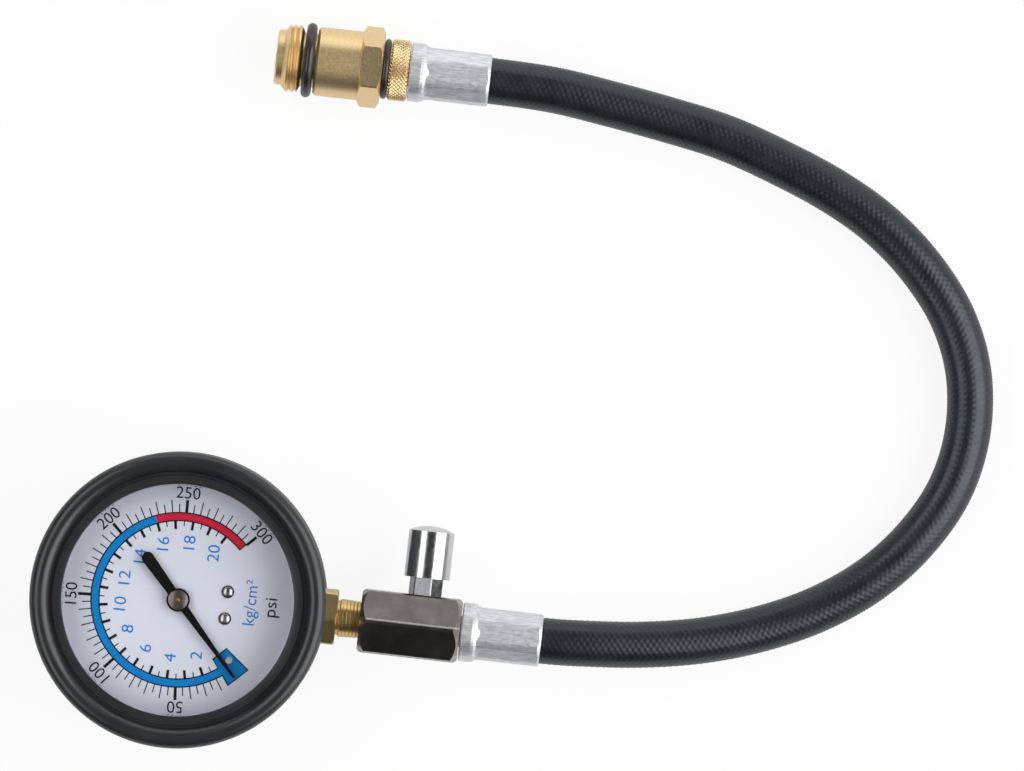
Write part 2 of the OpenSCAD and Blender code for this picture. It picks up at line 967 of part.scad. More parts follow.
module bourdon_tube() {
    color(bronze) {
        difference() {
            tube_arc(tube_w, tube_h, tube_angle + pocket_angle - 0.5, tube_end);
            tube_arc(
                tube_w - 2 * tube_wall, tube_h - 2 * tube_wall,
                tube_angle + pocket_angle, tube_end
            );
        }
        rotate(tip_start - tip_sweep)
            rotate_extrude(angle = tip_sweep)
                translate([tube_r, stem_z])
                    square([tip_w, tip_h], center = true);
        translate([0, 0, sector_z])
            linear_extrude(sector_t)
                difference() {
                    bar_outline(polar(tube_r - tube_w / 2, tip_angle), tube_pin_at, tail_end_r);
                    translate(tube_pin_at)
                        circle(pin_r + pivot_fit);
                }
    }
}

// Outline that both movement plates share: round ends over the two arbors and the pillars
pillar_x = 6.4;
pillar_y = -7;
pillar_r = 1.9;
module plate_outline() {
    bar_outline([0, pillar_y + 2], [0, centre_distance - 1], 5.5);
    bar_outline([-pillar_x, pillar_y], [pillar_x, pillar_y], pillar_r + 0.5);
}

module at_pillars() {
    for (side = [-1, 1])
        translate([side * pillar_x, pillar_y, 0])
            children();
}

module plate_holes() {
    circle(arbor_pivot_r + run_fit);
    translate(sector_at)
        circle(arbor_pivot_r + run_fit);
    at_pillars()
        circle(screw_r + seat_fit);
}

module movement_back_plate() {
    color(brass)
        translate([0, 0, tongue_top])
            linear_extrude(plate_t)
                difference() {
                    union() {
                        plate_outline();
                        translate([0, -socket_w / 2 + 0.5])
                            square([dial_screw_x + post_r, socket_w - 1]);
                    }
                    plate_holes();
                    at_dial_screws()
                        circle(screw_r + seat_fit);
                }
}

module movement_front_plate() {
    color(brass)
        translate([0, 0, front_plate_z])
            linear_extrude(plate_t)
                difference() {
                    union() {
                        plate_outline();
                        bar_outline([0, 0], [stud_x, 0], 1.5);
                    }
                    plate_holes();
                    translate([stud_x, 0])
                        circle(stud_r + seat_fit / 2);
                }
}

module movement_pillars() {
    color(brass)
        at_pillars()
            difference() {
                translate([0, 0, tongue_top + plate_t])
                    cylinder(h = plate_gap, r = pillar_r);
                translate([0, 0, tongue_top])
                    cylinder(h = plate_gap + 2 * plate_t, r = screw_r + seat_fit);
            }
}

module movement_screws() {
    color(steel)
        at_pillars()
            turned([
                [0, tongue_top - 0.8],
                [screw_r, tongue_top - 0.8],
                [screw_r, front_plate_z + plate_t],
                [pillar_r, front_plate_z + plate_t],
                [pillar_r, front_plate_z + plate_t + screw_head_h - 0.4],
                [pillar_r - 0.4, front_plate_z + plate_t + screw_head_h],
                [0, front_plate_z + plate_t + screw_head_h]
            ]);
}

// Socket and valve body

// Radius of the pipe thread at a distance from its large end
function pipe_r(x) = pipe_d / 2 - x * pipe_taper;

module socket() {
    thread_len = thread_show + thread_grip;
    color(brass)
        difference() {
            union() {
                translate([tongue_x0, -socket_w / 2, tongue_top - tongue_t])
                    cube([block_x0 - tongue_x0 + eps, socket_w, tongue_t]);
                translate([block_x0, -socket_w / 2, tongue_top - tongue_t])
                    cube([block_x1 - block_x0, socket_w, stem_z + tube_h / 2 + 1.5 - tongue_top + tongue_t]);
                translate([foot_at - foot_w / 2, -socket_w / 2, floor_z])
                    cube([foot_w, socket_w, tongue_top - tongue_t - floor_z + eps]);
                on_stem()
                    turned([
                        [0, block_x1 - eps],
                        [shank_r, block_x1 - eps],
                        [shank_r, hex_x0 + eps],
                        [0, hex_x0 + eps]
                    ]);
                on_stem()
                    rotate(stem_turn)
                        chamfered_hex(stem_af, hex_x0, hex_x1, stem_chamfer, fine_ridge);
                on_stem()
                    turned([
                        [0, hex_x1 - eps],
                        [pipe_r(0) - 0.5, hex_x1 - eps],
                        [pipe_r(0) - 0.5, hex_x1 + 0.5],
                        [pipe_r(0.5), hex_x1 + 1],
                        [pipe_r(thread_len - 0.6), hex_x1 + thread_len - 0.6],
                        [pipe_r(thread_len) - 0.6, hex_x1 + thread_len],
                        [0, hex_x1 + thread_len]
                    ]);
            }
            on_stem()
                translate([0, 0, tube_r - 2])
                    cylinder(h = hex_x1 + thread_len - tube_r + 3, r = gas_r);
            translate([tube_r * cos(tube_angle), 0, stem_z])
                rotate([90, 0, 0])
                    cylinder(h = socket_w / 2 - 1, r = tube_w / 2 - tube_wall);
            tube_arc(
                tube_w + 2 * seat_fit, tube_h + 2 * seat_fit,
                tube_angle + pocket_angle, tube_angle - 8
            );
            at_dial_screws()
                translate([0, 0, tongue_top - screw_in - 0.5])
                    cylinder(h = screw_in + 1, r = screw_r + seat_fit);
            for (side = [-1, 1])
                translate([foot_at, side * socket_w / 4, 0])
                    cylinder(h = case_z + foot_screw_in + 0.6, r = foot_screw_r + seat_fit);
        }
}

module valve_body() {
    grip_end = thread_show + thread_grip + 1;
    color(dark_nickel)
        difference() {
            on_stem()
                chamfered_hex(valve_af, valve_x0, valve_x1, valve_chamfer, worn_ridge, 45);
            on_stem()
                turned([
                    [0, valve_x0 - 1],
                    [pipe_r(thread_show - 1) + seat_fit, valve_x0 - 1],
                    [pipe_r(grip_end) + seat_fit, hex_x1 + grip_end],
                    [0, hex_x1 + grip_end]
                ]);
            on_stem()
                translate([0, 0, valve_x0 + 1])
                    cylinder(h = valve_len - 2, d = passage_d);
            on_stem()
                translate([0, 0, valve_x1 - grip_thread_len - 0.5])
                    cylinder(h = grip_thread_len + 2, r = grip_thread_r + seat_fit);
            on_release() {
                translate([0, 0, neck_in])
                    cylinder(h = flat_y, r = neck_thread / 2 + seat_fit);
                translate([0, 0, -chamber_end])
                    cylinder(h = neck_in + chamber_end + 1, r = chamber_r);
            }
        }
}

// Release valve

module release_neck() {
    color(chrome)
        on_release()
            difference() {
                union() {
                    translate([0, 0, neck_in])
                        cylinder(h = flat_y - neck_in + eps, d = neck_thread);
                    rotate(neck_turn)
                        chamfered_hex(neck_af, flat_y, neck_hex_top, neck_chamfer, fine_ridge);
                    translate([0, 0, neck_hex_top - eps])
                        cylinder(h = guide_top - neck_hex_top + eps, r = guide_r);
                }
                translate([0, 0, neck_in - 1])
                    cylinder(h = neck_hex_top + 2 - neck_in + 1, r = stem_gas_r);
                translate([0, 0, neck_in])
                    cylinder(h = guide_top, r = stem_r + run_fit);
                translate([0, 0, neck_hex_top + 1])
                    rotate([0, 90, 0])
                        cylinder(h = 4 * guide_r, r = 0.7, center = true);
            }
}

module release_button() {
    color(chrome)
        on_release()
            difference() {
                union() {
                    difference() {
                        rotate_extrude()
                            dome_outline(
                                button_d / 2, neck_top, button_top + button_dome, button_dome
                            );
                        translate([0, 0, neck_top - 1])
                            cylinder(h = button_roof - neck_top + 1, r = button_bore_r);
                    }
                    translate([0, 0, button_roof - 1.4])
                        cylinder(h = 1.5, r = button_boss_r);
                }
                translate([0, 0, button_roof - 2])
                    cylinder(h = 3, r = stem_r + seat_fit / 2);
            }
}

module release_stem() {
    color(brass)
        on_release()
            turned([
                [0, neck_in - touch_gap - seal_t - stem_head_h],
                [stem_head_r, neck_in - touch_gap - seal_t - stem_head_h],
                [stem_head_r, neck_in - touch_gap - seal_t],
                [stem_r, neck_in - touch_gap - seal_t],
                [stem_r, button_roof + 0.9],
                [0, button_roof + 0.9]
            ]);
}

module release_seal() {
    color(black_rubber)
        on_release()
            translate([0, 0, neck_in - touch_gap - seal_t])
                difference() {
                    cylinder(h = seal_t, r = stem_head_r);
                    translate([0, 0, -1])
                        cylinder(h = seal_t + 2, r = stem_r + seat_fit / 2);
                }
}

module release_spring() {
    color(steel)
        on_release()
            translate([0, 0, guide_top + touch_gap])
                coil_spring(2.8, 0.25, button_roof - guide_top - 2 * touch_gap, 4);
}

// Hose, ferrules and tails

// Barbed end of a hose tail with the neck that the ferrule grips
function barb_outline() = concat(
    [[0, tail_s0], [barb_r - barb_depth, tail_s0]],
    [for (i = [0 : barb_count - 1])
        let (pitch = (flange_s - tail_s0) / barb_count)
        let (s = tail_s0 + i * pitch)
        each [
            [barb_r, s + pitch * 0.8],
            [barb_r - barb_depth, s + pitch * 0.8],
            [barb_r - barb_depth, s + pitch]
        ]],
    [
        [tail_flange_r, flange_s],
        [tail_flange_r, flange_s + tail_flange_len - touch_gap],
        [tail_neck_r, flange_s + tail_flange_len - touch_gap]
    ]
);

module ferrule() {
    collar_s = ferrule_len - ferrule_collar;
    crimp_s = collar_s - ferrule_taper;
    crimp_corner = crimp_af / (2 * cos(22.5));
    crimp_end = crimp_s + ferrule_taper / 2;
    rise = (ferrule_d - crimp_af) / 2;
    difference() {
        union() {
            turned([
                [0, crimp_s],
                [crimp_af / 2, crimp_s],
                [crimp_af / 2 + rise / 5, crimp_s + ferrule_taper / 3],
                [ferrule_d / 2 - rise / 5, collar_s - ferrule_taper / 3],
                [ferrule_d / 2, collar_s],
                [ferrule_d / 2, ferrule_len - 0.4],
                [ferrule_d / 2 - 0.4, ferrule_len],
                [0, ferrule_len]
            ]);
            intersection() {
                rotate(22.5)
                    cylinder(h = crimp_end, r = crimp_corner, $fn = 8);
                turned([
                    [0, 0],
                    [crimp_corner - 0.9, 0],
                    [crimp_corner - 0.35, 0.8],
                    [crimp_corner - 0.35, crimp_end],
                    [0, crimp_end]
                ]);
            }
        }
        translate([0, 0, -1])
            cylinder(h = ferrule_len - lip_len + 1, r = hose_d / 2 + seat_fit);
        translate([0, 0, -1])
            cylinder(h = ferrule_len + 2, r = tail_neck_r + seat_fit);
    }
}

module valve_ferrule() {
    color(aluminium)
        at_near_mouth()
            ferrule();
}

module end_ferrule() {
    color(aluminium)
        at_far_mouth()
            ferrule();
}

module valve_hose_tail() {
    color(brass)
        at_near_mouth()
            difference() {
                turned(concat(barb_outline(), [
                    [tail_neck_r, fitting_s],
                    [grip_thread_r, fitting_s],
                    [grip_thread_r, fitting_s + grip_thread_len - 0.6],
                    [grip_thread_r - 0.6, fitting_s + grip_thread_len],
                    [0, fitting_s + grip_thread_len]
                ]));
                cylinder(h = fitting_s + grip_thread_len + 1, r = tail_bore_r);
            }
}

module hose() {
    path = concat(
        [[near_x - hose_in, 0, stem_z]],
        hose_route,
        [far_mouth - [hose_in, 0, 0]]
    );
    color(black_rubber)
        swept_tube(path, hose_d / 2, hose_bore / 2, hose_sides);
}

// Hose end with its check valve core

module hose_end() {
    color(brass)
        at_far_mouth()
            difference() {
                turned(concat(barb_outline(), [
                    [tail_neck_r, fitting_s],
                    [knurl_d / 2 - 0.6, fitting_s],
                    [knurl_d / 2, fitting_s + 0.6],
                    [knurl_d / 2, knurl_s - 0.6],
                    [knurl_d / 2 - 0.6, knurl_s],
                    [seal_groove_r, knurl_s],
                    [seal_groove_r, adapter_s0 + 0.4],
                    [end_thread_r, adapter_s0 + 0.4 + end_thread_r - seal_groove_r],
                    [end_thread_r, end_tip_s - 1],
                    [end_thread_r - 1, end_tip_s],
                    [0, end_tip_s]
                ]));
                cylinder(h = end_tip_s, r = tail_bore_r);
                translate([0, 0, core_s0 - core_travel - core_seal_t - 2])
                    cylinder(h = end_tip_s, r = core_r - 0.4);
                translate([0, 0, core_s0])
                    cylinder(h = end_tip_s, r = core_r + seat_fit);
            }
}

module seal_ring(od, t, s) {
    translate([0, 0, s])
        rotate_extrude()
            translate([(od - t) / 2, 0])
                circle(d = t);
}

module hose_end_seal() {
    color(black_rubber)
        at_far_mouth()
            seal_ring(end_seal_d, end_seal_t - 2 * touch_gap, knurl_s + end_seal_t / 2);
}

module core_body() {
    color(brass)
        at_far_mouth()
            difference() {
                translate([0, 0, core_s0])
                    cylinder(h = core_len, r = core_r);
                translate([0, 0, core_s0 + core_shelf])
                    cylinder(h = core_len, r = core_bore_r);
                translate([0, 0, core_s0 - 1])
                    cylinder(h = core_len, r = core_pin_r + slide_fit);
            }
}

module core_pin() {
    head_s = core_s1 - 0.8;
    disc_s = core_s0 - touch_gap - core_seal_t;
    color(steel)
        at_far_mouth()
            turned([
                [0, disc_s - 0.6],
                [core_bore_r, disc_s - 0.6],
                [core_bore_r, disc_s],
                [core_pin_r, disc_s],
                [core_pin_r, head_s - 0.6],
                [core_bore_r - slide_fit, head_s - 0.6],
                [core_bore_r - slide_fit, head_s],
                [core_pin_r, head_s],
                [core_pin_r, core_s1 + core_pin_out],
                [0, core_s1 + core_pin_out]
            ]);
}

module core_seal() {
    color(black_rubber)
        at_far_mouth()
            translate([0, 0, core_s0 - touch_gap - core_seal_t])
                difference() {
                    cylinder(h = core_seal_t, r = core_bore_r);
                    translate([0, 0, -1])
                        cylinder(h = core_seal_t + 2, r = core_pin_r + seat_fit / 2);
                }
}

module core_spring() {
    room = core_len - core_shelf - 1.4;
    color(steel)
        at_far_mouth()
            translate([0, 0, core_s0 + core_shelf + touch_gap])
                coil_spring(1.15, 0.18, room - 2 * touch_gap, 4);
}

// Plug adapter

module plug_adapter() {
    color(brass)
        at_far_mouth()
            difference() {
                union() {
                    rotate(30)
                        chamfered_hex(adapter_af, adapter_s0, hex_s, adapter_chamfer, fine_ridge);
                    turned([
                        [0, hex_s - eps],
                        [barrel_d / 2, hex_s - eps],
                        [barrel_d / 2, barrel_s - 0.7],
                        [barrel_d / 2 - 0.7, barrel_s],
                        [groove_r, barrel_s],
                        [groove_r, groove_s],
                        [nose_d / 2, groove_s],
                        [plug_d / 2, thread_s],
                        [plug_d / 2, plug_s],
                        [nose_d / 2, plug_s + 0.5],
                        [nose_d / 2, nose_s - 0.4],
                        [nose_d / 2 - 0.4, nose_s],
                        [0, nose_s]
                    ]);
                }
                translate([0, 0, adapter_s0 - 1])
                    cylinder(h = end_thread_len + 2.5, d = end_thread_d);
                translate([0, 0, adapter_s0])
                    cylinder(h = nose_s, d = nose_bore);
            }
}

module plug_seal() {
    color(black_rubber)
        at_far_mouth()
            seal_ring(plug_seal_d, plug_seal_t, barrel_s + groove_len / 2);
}

rubber_boot();
gauge_case();
case_screws();
lens();
dial_plate();
dial_screws();
dial_posts();
stop_pin();
pointer();
pointer_bush();
pinion_arbor();
hairspring();
hairspring_collet();
hairspring_stud();
sector_gear();
sector_arbor();
sector_link_pin();
link();
tube_link_pin();
bourdon_tube();
movement_back_plate();
movement_front_plate();
movement_pillars();
movement_screws();
socket();
valve_body();
release_neck();
release_button();
release_stem();
release_seal();
release_spring();
valve_hose_tail();
valve_ferrule();
hose();
end_ferrule();
hose_end();
hose_end_seal();
core_body();
core_pin();
core_seal();
core_spring();
plug_adapter();
plug_seal();
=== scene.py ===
import json
import math
import bpy
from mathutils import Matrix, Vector


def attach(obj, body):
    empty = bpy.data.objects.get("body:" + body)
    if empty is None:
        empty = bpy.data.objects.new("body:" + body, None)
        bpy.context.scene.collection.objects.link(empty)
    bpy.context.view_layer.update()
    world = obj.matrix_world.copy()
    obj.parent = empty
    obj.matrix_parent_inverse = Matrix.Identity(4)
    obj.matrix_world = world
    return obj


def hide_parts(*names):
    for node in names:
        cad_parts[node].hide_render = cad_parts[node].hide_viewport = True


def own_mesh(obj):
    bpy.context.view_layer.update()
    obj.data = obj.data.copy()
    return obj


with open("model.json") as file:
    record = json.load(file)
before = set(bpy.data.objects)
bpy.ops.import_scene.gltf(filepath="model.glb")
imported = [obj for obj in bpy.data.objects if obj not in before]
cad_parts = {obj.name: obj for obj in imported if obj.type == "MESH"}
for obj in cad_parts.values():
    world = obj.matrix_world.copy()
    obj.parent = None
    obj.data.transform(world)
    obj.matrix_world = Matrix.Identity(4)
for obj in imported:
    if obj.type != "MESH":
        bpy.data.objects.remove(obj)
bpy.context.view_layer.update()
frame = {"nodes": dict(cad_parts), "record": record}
nodes = frame["nodes"]
scene = bpy.context.scene
scene.view_settings.view_transform = "Standard"
mm = 0.001
stemAxis = (0, 15.5)  # y and z of the stem from the gauge to the hose, in mm
farAxis = (147.5, 10.1)  # y and z of the hose's far end and the adapter
print("frame loaded:", len(nodes), "nodes")


def clearSelection():
    if bpy.context.object and bpy.context.object.mode != "OBJECT":
        bpy.ops.object.mode_set(mode="OBJECT")
    bpy.ops.object.select_all(action="DESELECT")


def linear(hexText):  # sRGB hex to linear
    parts = [int(hexText[i:i + 2], 16) / 255 for i in (1, 3, 5)]
    return [p / 12.92 if p <= 0.04045 else ((p + 0.055) / 1.055) ** 2.4 for p in parts] + [1]


# camera straight above the bench, turned as the photo is, in mm, with the clip in metres
cameraSet = {"over": (82.13, 67.0), "height": 4585.5, "turn": 6.5,
             "lens": 600, "sensor": 36, "clip": 20}

clearSelection()
bpy.ops.object.camera_add(
    location=(cameraSet["over"][0] * mm, cameraSet["over"][1] * mm, cameraSet["height"] * mm),
    rotation=(0, 0, math.radians(cameraSet["turn"])))
camera = bpy.context.object
camera.name = "photoCamera"
camera.data.lens = cameraSet["lens"]
camera.data.sensor_width = cameraSet["sensor"]
camera.data.clip_end = cameraSet["clip"]
scene.camera = camera
print("camera set")


# hose: route from the near ferrule's mouth to the far one's, in mm
hoseSet = {
    "route": [
        (97.6, 0, 15.5), (109, 0.5, 15), (125, 2, 13), (141, 5, 10.5), (156.5, 10, 8.2),
        (171, 17, 6.8), (184, 26.5, 6.3), (194.5, 38.5, 6.3), (202, 52.5, 6.3), (205, 68, 6.3),
        (203.5, 84, 6.3), (197.5, 98.5, 6.3), (187.5, 111, 6.3), (175.5, 121, 6.3),
        (162, 128.5, 6.3), (147, 134.5, 6.3), (131.5, 139.5, 6.4), (116, 142.5, 7),
        (100, 145, 8.2), (84, 147, 9.5), (67, 147.5, 10.1)],
    "curveSteps": 60,  # between two points of the route
    "gripped": 18.1, "bumpsFrom": 17.1,  # length inside each ferrule, and where the bumps start
    "radius": 6.2, "bore": 3.15,
    "ringGap": 0.4, "sides": 96, "boreEvery": 16,  # rings of the outside to one of the bore
    "ringsPerBump": 4, "bumpRows": 16, "bumpHeight": 0.15}


def routePoints(s):
    route = [Vector(p) for p in s["route"]]
    route.insert(0, route[0] - Vector((s["gripped"], 0, 0)))
    route.append(route[-1] - Vector((s["gripped"], 0, 0)))
    dense = []
    ends = [route[0] * 2 - route[1]] + route + [route[-1] * 2 - route[-2]]
    for a, b, c, d in zip(ends, ends[1:], ends[2:], ends[3:]):  # smooth curve through the points
        for i in range(s["curveSteps"]):
            t = i / s["curveSteps"]
            dense.append(0.5 * (2 * b + (c - a) * t + (2 * a - 5 * b + 4 * c - d) * t * t
                                + (3 * b - a - 3 * c + d) * t ** 3))
    dense.append(route[-1])
    walked = [0]
    for a, b in zip(dense, dense[1:]):
        walked.append(walked[-1] + (b - a).length)
    count = round(walked[-1] / s["ringGap"])
    even, at = [], 0
    for i in range(count + 1):
        want = walked[-1] * i / count
        while at < len(walked) - 2 and walked[at + 1] < want:
            at += 1
        part = (want - walked[at]) / (walked[at + 1] - walked[at])
        even.append(dense[at].lerp(dense[at + 1], part))
    return even, walked[-1]


def hoseRings(path):  # each ring's centre and its two directions across the hose
    last = len(path) - 1
    side = Vector((0, 1, 0))
    rings = []
    for i, at in enumerate(path):
        ahead = (path[min(i + 1, last)] - path[max(i - 1, 0)]).normalized()
        side = (side - ahead * side.dot(ahead)).normalized()
        rings.append((at, side, ahead.cross(side)))
    return rings


def ringPoints(ring, radii):
    at, side, up = ring
    turn = 2 * math.pi / len(radii)
    return [(at + (side * math.cos(j * turn) + up * math.sin(j * turn)) * r) * mm
            for j, r in enumerate(radii)]


def weaveHose(s):
    path, length = routePoints(s)
    rings = hoseRings(path)
    last = len(path) - 1
    gap = length / last
    n = s["sides"]
    verts, faces = [], []
    for i, ring in enumerate(rings):  # staggered bumps left by the cloth the hose was cured in
        smooth = min(i * gap, length - i * gap) < s["bumpsFrom"]
        a = i / s["ringsPerBump"]
        radii = []
        for j in range(n):
            b = j * s["bumpRows"] / n
            waves = [0.5 + 0.5 * math.cos(2 * math.pi * t) for t in (a + b, a - b)]
            bump = 0 if smooth else waves[0] * waves[1]
            radii.append(s["radius"] + s["bumpHeight"] * (bump - 0.5))
        verts += ringPoints(ring, radii)
    for i in range(last):
        for j in range(n):
            a, k = i * n, (j + 1) % n
            faces.append((a + j, a + k, a + n + k, a + n + j))
    # bore with fewer rings, and flat ends
    kept = list(range(0, last, s["boreEvery"])) + [last]
    start = len(verts)
    for i in kept:
        verts += ringPoints(rings[i], [s["bore"]] * n)
    for i in range(len(kept) - 1):
        for j in range(n):
            a, k = start + i * n, (j + 1) % n
            faces.append((a + j, a + n + j, a + n + k, a + k))
    endRing = start + (len(kept) - 1) * n
    for j in range(n):
        k = (j + 1) % n
        faces.append((j, start + j, start + k, k))
        faces.append((last * n + j, last * n + k, endRing + k, endRing + j))
    mesh = bpy.data.meshes.new("hoseRubber")
    mesh.from_pydata(verts, [], faces)
    mesh.validate()
    hose = bpy.data.objects.new("rubberHose", mesh)
    scene.collection.objects.link(hose)
    for polygon in mesh.polygons:
        polygon.use_smooth = True
    return hose, path, length


hose, hosePath, hoseLength = weaveHose(hoseSet)
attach(hose, "gauge")
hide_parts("hose")
print("hose laid:", round(hoseLength, 1), "mm")


def addNode(tree, kind, settings={}, links={}):
    node = tree.nodes.new(kind)
    for key, value in settings.items():
        if isinstance(key, str) and key in node.bl_rna.properties:
            setattr(node, key, value)
        else:
            node.inputs[key].default_value = value
    for key, source in links.items():
        tree.links.new(source, node.inputs[key])
    return node


def startMaterial(name, settings):
    material = bpy.data.materials.new(name)
    material.use_nodes = True
    tree = material.node_tree
    surface = tree.nodes["Principled BSDF"]
    for socket, value in settings.items():
        surface.inputs[socket].default_value = value
    place = addNode(tree, "ShaderNodeTexCoord").outputs["Object"]
    return material, tree, surface, place


def feed(tree, surface, outputs):
    for socket, output in outputs.items():
        tree.links.new(output, surface.inputs[socket])


# pattern scales below are 1000 / size in mm
noiseSpan = {"From Min": 0.3, "From Max": 0.7}  # where most values of a noise lie


# black rubber with hazy patches of sheen, and a fine grain where there is relief
def rubber(name, s):
    material, tree, surface, place = startMaterial(
        name, {"Specular IOR Level": s["gloss"], "Specular Tint": linear(s["sheen"])})
    haze = addNode(tree, "ShaderNodeTexNoise", {"Scale": 1000 / s["haze"], "Detail": s["detail"]},
                   {"Vector": place})
    colour = addNode(tree, "ShaderNodeMix",
                     {"data_type": "RGBA", 6: linear(s["dark"]), 7: linear(s["light"])},
                     {0: haze.outputs[0]})
    rough = addNode(tree, "ShaderNodeMapRange",
                    {**noiseSpan, "To Min": s["rough"][0], "To Max": s["rough"][1]},
                    {"Value": haze.outputs[0]})
    feed(tree, surface, {"Base Color": colour.outputs[2], "Roughness": rough.outputs[0]})
    if s["relief"]:
        grain = addNode(tree, "ShaderNodeTexNoise", {"Scale": 1000 / s["grain"], "Detail": 2},
                        {"Vector": place})
        bump = addNode(tree, "ShaderNodeBump", {"Strength": s["relief"], "Distance": 0.03 * mm},
                       {"Height": grain.outputs[0]})
        feed(tree, surface, {"Normal": bump.outputs[0]})
    return material


# turned brass: rings left by the tool along X, drawn coarser than real so that they show,
# and light handling scuffs
def turnedBrass(name, light, dark, roughLow, roughHigh, ringDepth, flatsFrom=None):
    material, tree, surface, place = startMaterial(name, {"Metallic": 1})
    split = addNode(tree, "ShaderNodeSeparateXYZ", {}, {0: place})
    rings = addNode(tree, "ShaderNodeTexNoise",
                    {"noise_dimensions": "1D", "Scale": 1000 / 0.12, "Detail": 1},
                    {"W": split.outputs[0]})
    scuffs = addNode(tree, "ShaderNodeTexNoise",
                     {"Scale": 1000 / 0.5, "Detail": 4, "Roughness": 0.6}, {"Vector": place})
    worn = addNode(tree, "ShaderNodeMapRange", {"From Min": 0.4, "From Max": 0.75},
                   {"Value": scuffs.outputs[0]})
    colour = addNode(tree, "ShaderNodeMix",
                     {"data_type": "RGBA", 6: linear(dark), 7: linear(light)},
                     {0: worn.outputs[0]})
    rough = addNode(tree, "ShaderNodeMapRange",
                    {"From Min": 0.3, "From Max": 0.75, "To Min": roughLow, "To Max": roughHigh},
                    {"Value": scuffs.outputs[0]})
    if flatsFrom:  # the hexagon past this x is milled, and smoother
        edge, smoother = 0.1, 0.07
        flats = addNode(tree, "ShaderNodeMapRange",
                        {"From Min": (flatsFrom - edge) * mm, "From Max": (flatsFrom + edge) * mm,
                         "To Max": -smoother},
                        {"Value": split.outputs[0]})
        rough = addNode(tree, "ShaderNodeMath", {"operation": "ADD"},
                        {0: rough.outputs[0], 1: flats.outputs[0]})
    bump = addNode(tree, "ShaderNodeBump", {"Strength": 1, "Distance": ringDepth * mm},
                   {"Height": rings.outputs[0]})
    feed(tree, surface, {"Base Color": colour.outputs[2], "Roughness": rough.outputs[0],
                         "Normal": bump.outputs[0]})
    return material


# bare aluminium: pale satin grey, dragged lengthwise by the crimping jaws and lightly dented
def bareAluminium():
    material, tree, surface, place = startMaterial("crimpedBareAluminium", {"Metallic": 1})
    drawn = addNode(tree, "ShaderNodeMapping", {"Scale": (1000 / 3, 1000 / 0.4, 1000 / 0.4)},
                    {"Vector": place})
    streaks = addNode(tree, "ShaderNodeTexNoise", {"Scale": 1, "Detail": 4, "Roughness": 0.6},
                      {"Vector": drawn.outputs[0]})
    dents = addNode(tree, "ShaderNodeTexNoise",
                    {"Scale": 1000 / 1.2, "Detail": 5, "Roughness": 0.65}, {"Vector": place})
    mask = addNode(tree, "ShaderNodeMapRange", {"From Min": 0.35, "From Max": 0.65},
                   {"Value": streaks.outputs[0]})
    colour = addNode(tree, "ShaderNodeMix",
                     {"data_type": "RGBA", 6: linear("#cbced3"), 7: linear("#f3f4f6")},
                     {0: mask.outputs[0]})
    rough = addNode(tree, "ShaderNodeMapRange", {**noiseSpan, "To Min": 0.44, "To Max": 0.58},
                    {"Value": dents.outputs[0]})
    relief = addNode(tree, "ShaderNodeBump", {"Strength": 0.16, "Distance": 0.04 * mm},
                     {"Height": dents.outputs[0]})
    bump = addNode(tree, "ShaderNodeBump", {"Strength": 0.08, "Distance": 0.04 * mm},
                   {"Height": streaks.outputs[0], "Normal": relief.outputs[0]})
    feed(tree, surface, {"Base Color": colour.outputs[2], "Roughness": rough.outputs[0],
                         "Normal": bump.outputs[0]})
    return material


# dark nickel on the valve hexagon: smoky plate with smudges, and a pale line along its ridges that
# is partly rubbed wear and partly a painted highlight of the ridges catching the light
def darkNickel():
    material, tree, surface, place = startMaterial("darkNickelPlate", {"Metallic": 1})
    centred = addNode(tree, "ShaderNodeMapping",
                      {"Location": (0, 0, -stemAxis[1] * mm), "Rotation": (0.05, 0, 0)},
                      {"Vector": place})
    split = addNode(tree, "ShaderNodeSeparateXYZ", {}, {0: centred.outputs[0]})
    angle = addNode(tree, "ShaderNodeMath", {"operation": "ARCTAN2"},
                    {0: split.outputs[1], 1: split.outputs[2]})
    specks = addNode(tree, "ShaderNodeTexNoise",
                     {"Scale": 1000 / 0.5, "Detail": 5, "Roughness": 0.7}, {"Vector": place})
    ragged = addNode(tree, "ShaderNodeMath", {"operation": "MULTIPLY_ADD", 1: 0.1},
                     {0: specks.outputs[0], 2: angle.outputs[0]})
    toRidge = addNode(tree, "ShaderNodeMath", {"operation": "PINGPONG", 1: math.radians(30)},
                      {0: ragged.outputs[0]})  # six ridges folded into one
    # pale ridge line: partly wear, partly a painted highlight where the ridges catch the light
    ridgeWearAndHighlight = addNode(tree, "ShaderNodeMapRange", {"From Min": 0.03, "From Max": 0.014},
                    {"Value": toRidge.outputs[0]})
    clouds = addNode(tree, "ShaderNodeTexNoise",
                     {"Scale": 1000 / 6, "Detail": 4, "Roughness": 0.6}, {"Vector": place})
    smudges = addNode(tree, "ShaderNodeMapRange",
                      {"From Min": 0.4, "From Max": 0.7, "To Max": 0.22},
                      {"Value": clouds.outputs[0]})
    smudgesAndRidgeHighlight = addNode(tree, "ShaderNodeMath", {"operation": "MAXIMUM"},
                   {0: ridgeWearAndHighlight.outputs[0], 1: smudges.outputs[0]})
    colour = addNode(tree, "ShaderNodeMix",
                     {"data_type": "RGBA", 6: linear("#918c8a"), 7: linear("#d8d5d1")},
                     {0: smudgesAndRidgeHighlight.outputs[0]})
    rough = addNode(tree, "ShaderNodeMapRange", {**noiseSpan, "To Min": 0.2, "To Max": 0.27},
                    {"Value": clouds.outputs[0]})
    bump = addNode(tree, "ShaderNodeBump", {"Strength": 0.03, "Distance": 0.03 * mm},
                   {"Height": specks.outputs[0]})
    feed(tree, surface, {"Base Color": colour.outputs[2], "Roughness": rough.outputs[0],
                         "Normal": bump.outputs[0]})
    return material


